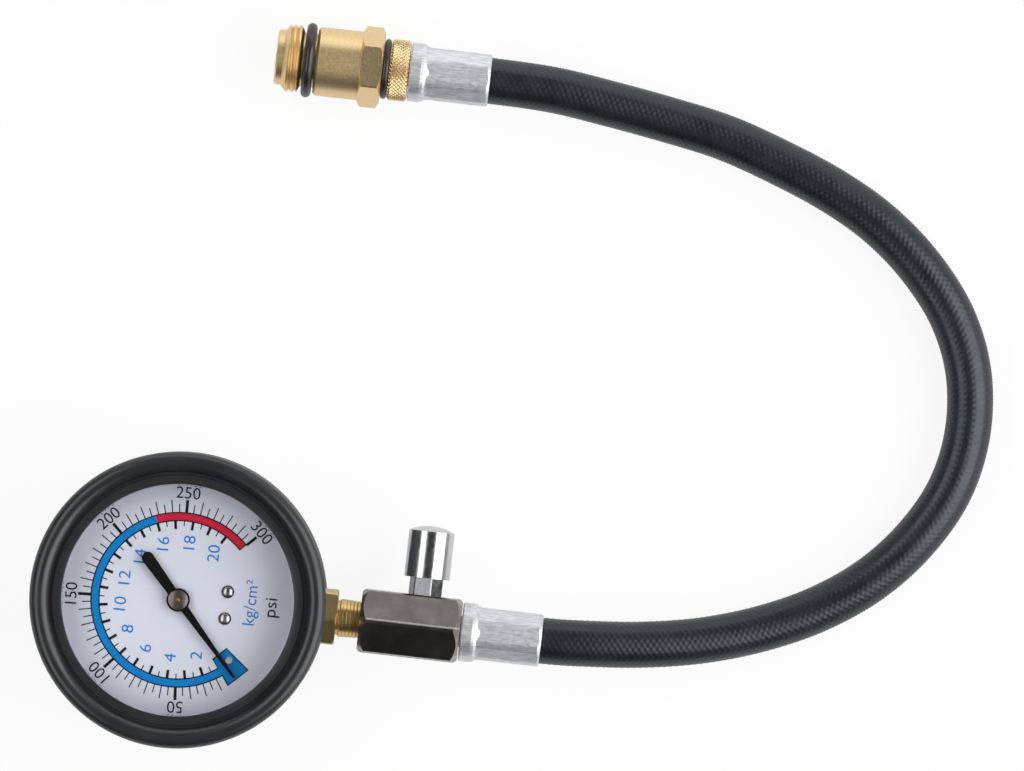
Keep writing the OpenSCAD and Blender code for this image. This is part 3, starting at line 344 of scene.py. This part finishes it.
# plated and turned steel: a mirror with a little haze from handling, over polishing marks
def platedSteel(name, shade, roughLow, roughHigh, marks):
    material, tree, surface, place = startMaterial(name, {"Metallic": 1})
    haze = addNode(tree, "ShaderNodeTexNoise",
                   {"Scale": 1000 / 1.5, "Detail": 4, "Roughness": 0.6}, {"Vector": place})
    rough = addNode(tree, "ShaderNodeMapRange",
                    {**noiseSpan, "To Min": roughLow, "To Max": roughHigh},
                    {"Value": haze.outputs[0]})
    colour = addNode(tree, "ShaderNodeMix",
                     {"data_type": "RGBA", "blend_type": "MULTIPLY", 0: 0.15, 6: linear(shade)},
                     {7: haze.outputs[1]})
    drawn = addNode(tree, "ShaderNodeMapping", {"Scale": (1000 / 0.5, 1000 / 3, 1000 / 0.5)},
                    {"Vector": place})
    polish = addNode(tree, "ShaderNodeTexNoise", {"Scale": 1, "Detail": 4, "Roughness": 0.65},
                     {"Vector": drawn.outputs[0]})
    bump = addNode(tree, "ShaderNodeBump", {"Strength": marks, "Distance": 0.03 * mm},
                   {"Height": polish.outputs[0]})
    feed(tree, surface, {"Base Color": colour.outputs[2], "Roughness": rough.outputs[0],
                         "Normal": bump.outputs[0]})
    return material


# enamel and printing ink: even satin coats with a faint mottle
def coat(name, shade, second, roughness, gloss):
    material, tree, surface, place = startMaterial(
        name, {"Roughness": roughness, "Specular IOR Level": gloss})
    mottle = addNode(tree, "ShaderNodeTexNoise", {"Scale": 1000 / 0.6, "Detail": 3},
                     {"Vector": place})
    colour = addNode(tree, "ShaderNodeMix",
                     {"data_type": "RGBA", 6: linear(shade), 7: linear(second)},
                     {0: mottle.outputs[0]})
    bump = addNode(tree, "ShaderNodeBump", {"Strength": 0.08, "Distance": 0.02 * mm},
                   {"Height": mottle.outputs[0]})
    feed(tree, surface, {"Base Color": colour.outputs[2], "Normal": bump.outputs[0]})
    return material


# clear moulded acrylic: a faint swirl in the gloss, and lamps shine straight through to the dial
def clearAcrylic():
    material, tree, surface, place = startMaterial(
        "clearMouldedAcrylic", {"Transmission Weight": 1, "IOR": 1.49})
    swirl = addNode(tree, "ShaderNodeTexNoise", {"Scale": 1000 / 14, "Detail": 2},
                    {"Vector": place})
    rough = addNode(tree, "ShaderNodeMapRange", {"To Min": 0.0, "To Max": 0.03},
                    {"Value": swirl.outputs[0]})
    feed(tree, surface, {"Roughness": rough.outputs[0]})
    rays = addNode(tree, "ShaderNodeLightPath")
    clear = addNode(tree, "ShaderNodeBsdfTransparent")
    mixed = addNode(tree, "ShaderNodeMixShader", {},
                    {0: rays.outputs["Is Shadow Ray"], 1: surface.outputs[0], 2: clear.outputs[0]})
    tree.links.new(mixed.outputs[0], tree.nodes["Material Output"].inputs["Surface"])
    return material


# boot: soft sheen, the mould's grain and a faint bloom
bootRubber = rubber("mouldedBlackRubber", {
    "dark": "#232528", "light": "#2a2c2f", "gloss": 0.6, "sheen": "#ffffff", "haze": 9, "detail": 3,
    "rough": (0.28, 0.36), "grain": 0.45, "relief": 0.25})
# hose: deep black with a cool sheen on the bumps
hoseBlack = rubber("clothWrappedHoseRubber", {
    "dark": "#0a0c0e", "light": "#101316", "gloss": 0.8, "sheen": "#e6f1f8", "haze": 5, "detail": 3,
    "rough": (0.35, 0.44), "grain": 0.4, "relief": 0.2})
# seal rings: smooth oily black
ringRubber = rubber("smoothNitrileRubber", {
    "dark": "#0c0d0e", "light": "#141617", "gloss": 0.8, "sheen": "#ffffff", "haze": 2, "detail": 2,
    "rough": (0.28, 0.42), "relief": 0})
brass = turnedBrass("turnedBrass", "#f0d8ac", "#e8ca98", 0.28, 0.38, 0.008)
paleBrass = turnedBrass("freshTurnedBrass", "#f7e0b4", "#eecf9a", 0.36, 0.46, 0.01, flatsFrom=32.0)
socketBrass = turnedBrass("drawnYellowBrass", "#ebd39c", "#ddc187", 0.28, 0.38, 0.008)
aluminium = bareAluminium()
nickel = darkNickel()
chrome = platedSteel("brightChromePlate", "#d6d7da", 0.15, 0.26, 0.12)
brightSteel = platedSteel("turnedBrightSteel", "#b5b2ae", 0.2, 0.35, 0.1)
neckNickel = platedSteel("dullNickelPlate", "#96979b", 0.12, 0.32, 0.45)
capSteel = platedSteel("darkenedCapSteel", "#857c78", 0.28, 0.32, 0.02)
pinSteel = platedSteel("dullPinSteel", "#cfcfd1", 0.42, 0.5, 0.05)
bronze = turnedBrass("drawnPhosphorBronze", "#c98f5e", "#b47848", 0.25, 0.4, 0.004)
caseEnamel = coat("blackCaseEnamel", "#1a1a1b", "#202022", 0.4, 0.5)
dialEnamel = coat("satinDialEnamel", "#d4d7e5", "#d8dbe8", 0.5, 0.3)
pointerBlack = coat("satinPointerBlack", "#0b0b0c", "#0f0f10", 0.22, 0.4)
blackInk = coat("blackDialInk", "#101014", "#17171b", 0.6, 0.15)
blueInk = coat("blueDialInk", "#0079c2", "#0080ca", 0.6, 0.15)
redInk = coat("redDialInk", "#c4193a", "#cb2141", 0.6, 0.15)
lensClear = clearAcrylic()

slotFinish = {
    "boot_rubber": bootRubber, "seal_rubber": ringRubber, "hose_rubber": hoseBlack,
    "case_steel": caseEnamel, "bright_steel": brightSteel, "lens_clear": lensClear,
    "dial_enamel": dialEnamel, "pointer_black": pointerBlack, "brass": brass, "bronze": bronze,
    "dark_nickel": nickel, "chrome_plate": chrome, "ferrule_aluminium": aluminium}
ownFinish = {"release_neck": neckNickel, "pointer_bush": capSteel, "stop_pin": pinSteel}
for part in frame["record"]["subparts"]:
    finish = ownFinish.get(part["node"], slotFinish[part["material_slot"]])
    for slot in nodes[part["node"]].material_slots:
        slot.material = finish
hose.data.materials.append(hoseBlack)
print("finishes made:", len(bpy.data.materials))


def finishPiece(piece, name, finish, angle=30, body="gauge"):
    clearSelection()
    piece.name = name
    piece.select_set(True)
    bpy.context.view_layer.objects.active = piece
    bpy.ops.object.transform_apply(location=True, rotation=True, scale=True)
    bpy.ops.object.shade_smooth_by_angle(angle=math.radians(angle))
    piece.data.materials.clear()
    piece.data.materials.append(finish)
    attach(piece, body)
    return piece


def copyNode(nodeName):
    clearSelection()
    piece = bpy.data.objects.new(nodeName + "Copy", nodes[nodeName].data.copy())
    scene.collection.objects.link(piece)
    piece.select_set(True)
    bpy.context.view_layer.objects.active = piece
    bpy.ops.mesh.customdata_custom_splitnormals_clear()
    bpy.ops.object.mode_set(mode="EDIT")
    bpy.ops.mesh.select_all(action="SELECT")
    bpy.ops.mesh.remove_doubles(threshold=1e-6)
    bpy.ops.object.mode_set(mode="OBJECT")
    return piece


def workWith(piece, tool, operation):
    cut = piece.modifiers.new("work", "BOOLEAN")
    cut.operation = operation
    cut.solver = "EXACT"
    cut.object = tool
    clearSelection()
    bpy.context.view_layer.objects.active = piece
    bpy.ops.object.modifier_apply(modifier=cut.name)
    bpy.data.objects.remove(tool)


# a circle pulled along (x, radius) points in mm into a closed turned shape
def turnShape(profile, axis, sides=96):
    clearSelection()
    y, z = axis[0] * mm, axis[1] * mm
    x, r = profile[0]
    bpy.ops.mesh.primitive_circle_add(vertices=sides, radius=r * mm, location=(x * mm, y, z),
                                      rotation=(0, math.radians(90), 0))
    piece = bpy.context.object
    bpy.ops.object.transform_apply(location=True, rotation=True, scale=True)
    bpy.ops.object.mode_set(mode="EDIT")
    bpy.ops.mesh.select_all(action="SELECT")
    for nextX, nextR in profile[1:] + profile[:1]:
        bpy.ops.mesh.extrude_region_move(
            TRANSFORM_OT_translate={"value": ((nextX - x) * mm, 0, 0)})
        bpy.ops.transform.resize(value=(1, nextR / r, nextR / r),
                                 center_override=(nextX * mm, y, z))
        x, r = nextX, nextR
    bpy.ops.mesh.select_all(action="SELECT")
    bpy.ops.mesh.remove_doubles(threshold=1e-7)
    bpy.ops.mesh.normals_make_consistent(inside=False)
    bpy.ops.object.mode_set(mode="OBJECT")
    return piece


# thread tool: how far it stands out, its half width and limit as shares of the pitch,
# its steps in a turn, and the share of the depth that it lifts as it eases out
threadTool = {"over": 0.35, "flank": 0.4, "widest": 0.49, "steps": 72, "lift": 0.9}


# a V tool led round the axis by the Screw modifier cuts a right-hand thread
def cutThread(piece, s):
    clearSelection()
    y, z = s["axis"][0] * mm, s["axis"][1] * mm
    pitch = s["pitch"]
    bpy.ops.mesh.primitive_circle_add(vertices=3, radius=pitch * mm,
                                      location=(s["from"] * mm, y, z))
    tool = bpy.context.object
    root, top = s["radius"] - s["depth"], s["radius"] + threadTool["over"]
    flank = min(threadTool["flank"] * pitch * (top - root) / s["depth"],
                threadTool["widest"] * pitch)
    corners = ((0, 0, root), (flank, 0, top), (-flank, 0, top))
    for point, corner in zip(tool.data.vertices, corners):
        point.co = Vector(corner) * mm
    lead = tool.modifiers.new("lead", "SCREW")
    lead.axis = "X"
    lead.angle = 2 * math.pi
    lead.screw_offset = pitch * mm
    lead.iterations = math.ceil((s["to"] - s["from"]) / pitch)
    lead.steps = lead.render_steps = threadTool["steps"]
    bpy.ops.object.modifier_apply(modifier=lead.name)
    for point in tool.data.vertices:  # taper of the thread, and the tool easing out of the cut
        x = s["from"] + point.co.x / mm
        r = math.hypot(point.co.y, point.co.z) / mm
        eased = max(0, min(1, (x - s["easeFrom"]) / s["ease"])) if s["ease"] else 1
        lifted = (1 - eased) * s["depth"] * threadTool["lift"]
        new = r - s["taper"] * (x - s["from"]) + lifted
        point.co.y *= new / r
        point.co.z *= new / r
    bpy.ops.object.mode_set(mode="EDIT")
    bpy.ops.mesh.select_all(action="SELECT")
    bpy.ops.mesh.fill_holes(sides=3)
    bpy.ops.mesh.select_all(action="SELECT")
    bpy.ops.mesh.normals_make_consistent(inside=False)
    bpy.ops.object.mode_set(mode="OBJECT")
    bpy.ops.object.transform_apply(location=True, rotation=True, scale=True)
    workWith(piece, tool, "DIFFERENCE")


# a disc pulled along (radius, z) points in mm and closed by a second disc
def mouldRound(profile, sides):
    clearSelection()
    r, z = profile[0]
    bpy.ops.mesh.primitive_circle_add(vertices=sides, radius=r * mm, fill_type="NGON",
                                      location=(0, 0, z * mm))
    piece = bpy.context.object
    bpy.ops.object.transform_apply(location=True, rotation=True, scale=True)
    bpy.ops.object.mode_set(mode="EDIT")
    bpy.ops.mesh.select_all(action="SELECT")
    bpy.ops.mesh.select_mode(type="EDGE")
    bpy.ops.mesh.region_to_loop()
    for nextR, nextZ in profile[1:]:
        bpy.ops.mesh.extrude_region_move(
            TRANSFORM_OT_translate={"value": (0, 0, (nextZ - z) * mm)})
        bpy.ops.transform.resize(value=(nextR / r, nextR / r, 1),
                                 center_override=(0, 0, nextZ * mm))
        r, z = nextR, nextZ
    bpy.ops.mesh.edge_face_add()
    bpy.ops.mesh.select_all(action="SELECT")
    bpy.ops.mesh.normals_make_consistent(inside=False)
    bpy.ops.object.mode_set(mode="OBJECT")
    return piece


# rubber boot: moulded in one, a flat lip over the lens and a round bead about it,
# with a port for the socket and room for the heads of its two screws
boot = {
    "inside": [(32.1, 3), (34.1, 5.1), (34.1, 33.2), (31.1, 33.2)],
    "lip": [(31.0, 33.4), (31.0, 34.0), (31.1, 34.18), (31.3, 34.25), (33.35, 34.25),
            (33.45, 33.55), (34.25, 33.55)],
    "bead": {"crest": 37.0, "inner": 2.75, "outer": 2.6, "foot": 33.4, "high": 2.6,
             "sweep": 172, "steps": 28},
    "side": [(39.5, 32.4), (39.3, 31.4), (39.1, 30.6), (39.0, 29.8), (39.0, 7.2), (39.1, 6.4),
             (39.35, 5.6), (39.55, 5.0), (39.6, 4.4), (39.6, 1.0), (39.5, 0.6), (39.25, 0.25),
             (38.9, 0.06), (38.6, 0)],
    "sides": 256,
    "port": [(33.2, 0.01), (33.2, 8.38), (43, 8.38), (43, 0.01)],
    "screwRoom": {"at": (19, 3.5, 2.8), "radius": 2.8, "depth": 2.4, "sides": 48}}


def beadRing(s):
    ring = []
    for i in range(s["steps"] + 1):
        t = math.radians(s["sweep"] * (1 - i / s["steps"]))
        wide = s["inner"] if t > math.pi / 2 else s["outer"]
        ring.append((s["crest"] + wide * math.cos(t), s["foot"] + s["high"] * math.sin(t)))
    return ring


rubberBoot = mouldRound(boot["inside"] + boot["lip"] + beadRing(boot["bead"]) + boot["side"],
                        boot["sides"])
workWith(rubberBoot, turnShape(boot["port"], stemAxis), "DIFFERENCE")
room = boot["screwRoom"]
for way in (-1, 1):
    x, y, z = room["at"]
    bpy.ops.mesh.primitive_cylinder_add(
        vertices=room["sides"], radius=room["radius"] * mm, depth=room["depth"] * mm,
        location=(x * mm, way * y * mm, z * mm))
    workWith(rubberBoot, bpy.context.object, "DIFFERENCE")
finishPiece(rubberBoot, "rubberBootPiece", bootRubber, 40)
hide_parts("rubber_boot")
print("boot moulded:", len(rubberBoot.data.polygons), "faces")

# lens: clear disc standing up through the boot's lip, its edge just broken;
# the small angle keeps its face flat in shading, so that the dial isn't bent
lensSet = {"profile": [(34.0, 32.0), (34.0, 33.2), (30.85, 33.2), (30.85, 33.68), (30.8, 33.8),
                       (30.7, 33.87), (30.58, 33.9)],
           "sides": 192, "angle": 10}
lens = mouldRound(lensSet["profile"], lensSet["sides"])
finishPiece(lens, "lensPiece", lensClear, lensSet["angle"])
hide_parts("lens")

# arbor's end, riveted over in the middle of the pointer's cap
rivetSet = {"profile": [(0.5, 27.2), (0.5, 27.31), (0.42, 27.36), (0.2, 27.39)], "sides": 32}
rivet = mouldRound(rivetSet["profile"], rivetSet["sides"])
finishPiece(rivet, "pointerRivet", bronze, 40, "pointer")
print("lens and rivet made")

# socket: pipe thread between its hexagon and the valve, running out towards the hexagon
pipeThread = {"from": 43.2, "to": 52, "radius": 5.12, "pitch": 0.94, "depth": 0.36,
              "taper": 1 / 32, "axis": stemAxis, "easeFrom": 43.2, "ease": 4.5}
socket = copyNode("socket")
cutThread(socket, pipeThread)
finishPiece(socket, "socketPiece", socketBrass)
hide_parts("socket")
print("socket threaded:", len(socket.data.polygons), "faces")

# plug adapter: spark plug thread with a chamfered start
plug = {
    "chamfer": [(10.2, 7.4), (11.3, 7.4), (12.5, 9.02), (12.5, 9.8), (10.2, 9.8)],
    "thread": {"from": 10.3, "to": 15.9, "radius": 9.0, "pitch": 1.5, "depth": 0.68, "taper": 0,
               "axis": farAxis, "easeFrom": 0, "ease": 0}}
adapter = copyNode("plug_adapter")
workWith(adapter, turnShape(plug["chamfer"], farAxis), "DIFFERENCE")
cutThread(adapter, plug["thread"])
finishPiece(adapter, "plugAdapter", paleBrass, 30, "adapter")
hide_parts("plug_adapter")
print("adapter threaded:", len(adapter.data.polygons), "faces")

# hose end: its thread shows when the adapter is off, its collar is knurled for the fingers
end = {
    "thread": {"from": 26.5, "to": 37, "radius": 6.9, "pitch": 1.25, "depth": 0.7, "taper": 0,
               "axis": farAxis, "easeFrom": 0, "ease": 0},
    "collarCut": [(39.88, 7.45), (45.12, 7.45), (45.12, 9.5), (39.88, 9.5)],
    "knurl": {"from": 39.9, "to": 45.1, "radius": 8.25, "core": 7.3, "chamfer": 0.6, "pitch": 1.1,
              "teeth": 44, "depth": 0.36, "slope": 2.4, "steps": 48, "sides": 440}}


def knurlRing(s):
    profile = [(s["from"], s["core"])]
    for i in range(s["steps"] + 1):
        x = s["from"] + (s["to"] - s["from"]) * i / s["steps"]
        toEnd = min(x - s["from"], s["to"] - x)
        profile.append((x, s["radius"] - max(0, s["chamfer"] - toEnd)))
    profile.append((s["to"], s["core"]))
    ring = turnShape(profile, farAxis, s["sides"])
    for point in ring.data.vertices:  # two crossing sets of V grooves leave the diamonds
        y, z = point.co.y / mm - farAxis[0], point.co.z / mm - farAxis[1]
        r = math.hypot(y, z)
        if r < s["core"] + 0.1:  # the ring's inside stays round
            continue
        along = (point.co.x / mm - s["from"]) / s["pitch"]
        around = math.atan2(y, z) / (2 * math.pi) * s["teeth"]
        grooves = [max(0, 1 - abs((t % 1) - 0.5) * s["slope"])
                   for t in (along + around, along - around)]
        new = r - s["depth"] * max(grooves)
        point.co.y = (farAxis[0] + y * new / r) * mm
        point.co.z = (farAxis[1] + z * new / r) * mm
    return ring


hoseEnd = copyNode("hose_end")
workWith(hoseEnd, turnShape(end["collarCut"], farAxis), "DIFFERENCE")
cutThread(hoseEnd, end["thread"])
workWith(hoseEnd, knurlRing(end["knurl"]), "UNION")
finishPiece(hoseEnd, "hoseEndPiece", brass, 25)
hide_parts("hose_end")
print("hose end knurled:", len(hoseEnd.data.polygons), "faces")

# springs: wire coils copied as they stand; in the gauge they shorten towards their fixed ends as
# the button and the pin go in
springs = {
    "release_spring": {"name": "releaseSpringPiece", "joint": "button_press", "axis": (0, 1, 0),
                       "fixed": (65.3, 19.3, 15.5), "keep": 0.41},
    "core_spring": {"name": "coreSpringPiece", "joint": "check_pin_lift", "axis": (1, 0, 0),
                    "fixed": (33.5, 147.5, 10.1), "keep": 0.69}}
coils = {}
for nodeName, s in springs.items():
    coils[nodeName] = copyNode(nodeName)
    finishPiece(coils[nodeName], s["name"], brightSteel)
    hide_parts(nodeName)
    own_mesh(coils[nodeName])
print("springs coiled")


# dial print: thin coats of ink on the plate's face, let into it by the sink; angles in degrees
dial = {"face": 24.6, "ink": 0.02, "sink": 0.01, "zero": -39.5, "perPsi": 0.918, "perKg": 13.06}
inkMiddle = dial["face"] + (dial["ink"] - dial["sink"]) / 2
inkDepth = dial["ink"] + dial["sink"]


def psiAngle(psi):
    return dial["zero"] - dial["perPsi"] * psi


def kgAngle(kg):
    return dial["zero"] - dial["perKg"] * kg


def inkBand(name, s, finish):
    clearSelection()
    inner, outer = s["from"][0], s["to"][0]
    start, end = s["from"][1], s["to"][1]
    low, high = dial["face"] - dial["sink"], dial["face"] + dial["ink"] * s["layer"]
    bpy.ops.mesh.primitive_plane_add(
        size=1, location=((inner + outer) / 2 * mm, 0, (low + high) / 2 * mm),
        rotation=(math.radians(90), 0, 0))
    band = bpy.context.object
    band.scale = ((outer - inner) * mm, (high - low) * mm, 1)
    bpy.ops.object.transform_apply(location=True, rotation=True, scale=True)
    bpy.ops.object.mode_set(mode="EDIT")
    bpy.ops.mesh.select_all(action="SELECT")
    bpy.ops.mesh.spin(steps=s["steps"], angle=math.radians(abs(end - start)), center=(0, 0, 0),
                      axis=(0, 0, 1))
    bpy.ops.mesh.select_all(action="SELECT")
    bpy.ops.mesh.remove_doubles(threshold=1e-8)
    bpy.ops.mesh.normals_make_consistent(inside=False)
    bpy.ops.object.mode_set(mode="OBJECT")
    # the spin can go either way round, which says at which end the band starts
    swept = max(math.degrees(math.atan2(v.co.y, v.co.x)) % 360 for v in band.data.vertices)
    firstAngle = min(start, end) if swept < abs(end - start) + 1 else max(start, end)
    band.rotation_euler = (0, 0, math.radians(firstAngle))
    return finishPiece(band, name, finish)


# band and zero box: edges as (radius, angle), colour inset within a black line
line = 0.35
bandEdge = {"inner": 21.0, "outer": 23.5, "start": -53.7, "change": kgAngle(16),
            "end": psiAngle(300), "startLine": 1, "endLine": 0.9}  # the line's width in degrees
boxEdge = {"inner": 18.2, "outer": 26.6, "start": -53.7, "end": -38.4, "sideLine": 0.85}
bandIn, bandOut = bandEdge["inner"] + line, bandEdge["outer"] - line
inkBand("bandOutline", {
    "from": (bandEdge["inner"], bandEdge["start"]), "to": (bandEdge["outer"], bandEdge["end"]),
    "layer": 1, "steps": 200}, blackInk)
inkBand("blueBand", {
    "from": (bandIn, bandEdge["start"] + bandEdge["startLine"]),
    "to": (bandOut, bandEdge["change"]),
    "layer": 2, "steps": 150}, blueInk)
inkBand("redBand", {
    "from": (bandIn, bandEdge["change"]),
    "to": (bandOut, bandEdge["end"] + bandEdge["endLine"]),
    "layer": 2, "steps": 60}, redInk)
inkBand("zeroBoxOutline", {
    "from": (boxEdge["inner"], boxEdge["start"]), "to": (boxEdge["outer"], boxEdge["end"]),
    "layer": 1.5, "steps": 1}, blackInk)
inkBand("zeroBoxFill", {
    "from": (boxEdge["inner"] + line, boxEdge["start"] + boxEdge["sideLine"]),
    "to": (boxEdge["outer"] - line, boxEdge["end"] - boxEdge["sideLine"]),
    "layer": 3, "steps": 1}, blueInk)


def inkTicks(name, marks, finish):
    clearSelection()
    for i, (angle, inner, outer, width) in enumerate(marks):
        a = math.radians(angle)
        r = (inner + outer) / 2
        bpy.ops.mesh.primitive_cube_add(
            size=1, location=(r * math.cos(a) * mm, r * math.sin(a) * mm, inkMiddle * mm),
            rotation=(0, 0, a), scale=((outer - inner) * mm, width * mm, inkDepth * mm))
        if i == 0:  # the rest are added to the first one's mesh
            piece = bpy.context.object
            bpy.ops.object.transform_apply(location=True, rotation=True, scale=True)
            bpy.ops.object.mode_set(mode="EDIT")
    bpy.ops.object.mode_set(mode="OBJECT")
    return finishPiece(piece, name, finish)


# tick ends as radii: psi ticks stand out of the band, kg ticks reach in from it
psiTick = {"foot": 23.4, "long": 26.8, "short": 25.7, "bold": 0.8, "fine": 0.3}
kgTick = {"foot": 21.6, "long": 18.9, "short": 19.7, "bold": 0.75, "fine": 0.3}
psiMarks = [(psiAngle(psi), psiTick["foot"], psiTick["long" if psi % 10 == 0 else "short"],
             psiTick["bold" if psi % 50 == 0 else "fine"]) for psi in range(20, 301, 5)]
kgMarks = [(kgAngle(step / 2), kgTick["long" if step % 2 == 0 else "short"], kgTick["foot"],
            kgTick["bold" if step % 2 == 0 else "fine"]) for step in range(3, 41)]
inkTicks("psiTicks", psiMarks, blackInk)
inkTicks("kgTicks", kgMarks, blackInk)


lettering = {
    "psiNumbers": {"radius": 28.7, "size": 4.5, "widen": 1.0},
    "kgNumbers": {"radius": 15.6, "size": 4.5, "widen": 1.06, "turn": 90},
    "kgUnit": {"at": (19.7, 1.45), "size": 4.6, "widen": 1.0, "turn": 90},
    "psiUnit": {"at": (25.3, 0.7), "size": 4.8, "widen": 1.05, "turn": 90}}


def inkWords(name, words, finish):
    size, widen = lettering[name]["size"], lettering[name]["widen"]
    made = []
    for text, x, y, turn in words:
        clearSelection()
        bpy.ops.object.text_add()
        word = bpy.context.object
        word.data.body = text
        word.data.size = 1  # drawn large, so that small counters stay open, then scaled down
        word.data.align_x = "CENTER"
        word.data.align_y = "CENTER"
        word.data.extrude = inkDepth / 2 / size
        word.data.resolution_u = 6
        bpy.ops.object.convert(target="MESH")
        word = bpy.context.object
        corners = [v.co for v in word.data.vertices]
        centre = [(min(c[i] for c in corners) + max(c[i] for c in corners)) / 2 for i in range(2)]
        for v in word.data.vertices:
            v.co.x -= centre[0]
            v.co.y -= centre[1]
        word.scale = (widen * size * mm, size * mm, size * mm)
        word.rotation_euler = (0, 0, math.radians(turn))
        word.location = (x * mm, y * mm, inkMiddle * mm)
        bpy.ops.object.transform_apply(location=True, rotation=True, scale=True)
        made.append(word)
    clearSelection()
    for word in made:
        word.select_set(True)
    bpy.context.view_layer.objects.active = made[0]
    if len(made) > 1:
        bpy.ops.object.join()
    bpy.ops.object.mode_set(mode="EDIT")
    bpy.ops.mesh.select_all(action="SELECT")
    bpy.ops.mesh.remove_doubles(threshold=1e-8)
    bpy.ops.object.mode_set(mode="OBJECT")
    return finishPiece(made[0], name, finish)


def onDial(angle, r):
    return r * math.cos(math.radians(angle)), r * math.sin(math.radians(angle))


psiWords = [(str(psi), *onDial(psiAngle(psi), lettering["psiNumbers"]["radius"]),
             psiAngle(psi) - 90) for psi in range(50, 301, 50)]
kgWords = [(str(kg), *onDial(kgAngle(kg), lettering["kgNumbers"]["radius"]),
            lettering["kgNumbers"]["turn"]) for kg in range(2, 21, 2)]
inkWords("psiNumbers", psiWords, blackInk)
inkWords("kgNumbers", kgWords, blueInk)
for name, text, ink in (("kgUnit", "kg/cm²", blueInk), ("psiUnit", "psi", blackInk)):
    inkWords(name, [(text, *lettering[name]["at"], lettering[name]["turn"])], ink)
print("dial printed")


# studio: a soft box at each side and a dimmer one beyond the far side, in metres and degrees
boxCentre = (0.0824, 0.0668)
softBoxes = {
    "rightBox": {"side": 52, "far": 0, "across": 1.4, "along": 2.0, "distance": 1.4, "shine": 3.1},
    "leftBox": {"side": -37.5, "far": 0, "across": 0.67, "along": 2.0, "distance": 1.4,
                "shine": 2.3},
    "farBox": {"side": 0, "far": 74, "across": 1.4, "along": 0.6, "distance": 1.0, "shine": 1.25}}

for name, s in softBoxes.items():
    a, f = math.radians(s["side"]), math.radians(s["far"])
    bpy.ops.object.light_add(
        type="AREA", location=(boxCentre[0] + s["distance"] * math.sin(a),
                               boxCentre[1] + s["distance"] * math.sin(f),
                               s["distance"] * math.cos(a) * math.cos(f)),
        rotation=(-f, a, 0))
    lamp = bpy.context.object
    lamp.name = name
    lamp.data.shape = "RECTANGLE"
    lamp.data.size = s["across"]
    lamp.data.size_y = s["along"]
    lamp.data.energy = s["shine"] * math.pi * s["across"] * s["along"]
    lamp.visible_camera = False

# white bench paper: near white with soft shadows to the camera, greyer in reflections
benchSet = {"size": 14, "drop": 0.15, "seen": 0.9, "shadow": 0.1, "bounce": 0.8,
            "mirrored": 0.5, "mirrorGlow": 0.4}

clearSelection()
bpy.ops.mesh.primitive_plane_add(size=benchSet["size"], location=(0, 0, -benchSet["drop"] * mm))
bench = bpy.context.object
bench.name = "whiteBench"
bpy.ops.object.transform_apply(location=True, rotation=True, scale=True)
paper = bpy.data.materials.new("whiteBenchPaper")
paper.use_nodes = True
tree = paper.node_tree
tree.nodes.remove(tree.nodes["Principled BSDF"])
rays = addNode(tree, "ShaderNodeLightPath")
inMirror = addNode(tree, "ShaderNodeMath", {"operation": "MAXIMUM"},
                   {0: rays.outputs["Is Glossy Ray"], 1: rays.outputs["Is Transmission Ray"]})
greys = {key: addNode(tree, "ShaderNodeBsdfDiffuse", {"Color": [benchSet[key]] * 3 + [1]})
         for key in ("bounce", "mirrored", "shadow")}
glows = {key: addNode(tree, "ShaderNodeEmission", {"Strength": benchSet[key]})
         for key in ("mirrorGlow", "seen")}
mirrorPaper = addNode(tree, "ShaderNodeAddShader", {},
                      {0: greys["mirrored"].outputs[0], 1: glows["mirrorGlow"].outputs[0]})
unseen = addNode(tree, "ShaderNodeMixShader", {},
                 {0: inMirror.outputs[0], 1: greys["bounce"].outputs[0],
                  2: mirrorPaper.outputs[0]})
seenPaper = addNode(tree, "ShaderNodeAddShader", {},
                    {0: greys["shadow"].outputs[0], 1: glows["seen"].outputs[0]})
mixed = addNode(tree, "ShaderNodeMixShader", {},
                {0: rays.outputs["Is Camera Ray"], 1: unseen.outputs[0], 2: seenPaper.outputs[0]})
tree.links.new(mixed.outputs[0], tree.nodes["Material Output"].inputs["Surface"])
bench.data.materials.append(paper)

# room: dim about the part, white to the camera
roomLight = {"surround": 0.03, "seen": 1}
world = bpy.data.worlds.new("studioRoom")
scene.world = world
world.use_nodes = True
tree = world.node_tree
tree.nodes.clear()
rays = addNode(tree, "ShaderNodeLightPath")
dim, white = [addNode(tree, "ShaderNodeBackground",
                      {"Color": (1, 1, 1, 1), "Strength": roomLight[key]})
              for key in ("surround", "seen")]
mixed = addNode(tree, "ShaderNodeMixShader", {},
                {0: rays.outputs["Is Camera Ray"], 1: dim.outputs[0], 2: white.outputs[0]})
addNode(tree, "ShaderNodeOutputWorld", {}, {"Surface": mixed.outputs[0]})
print("studio lit")
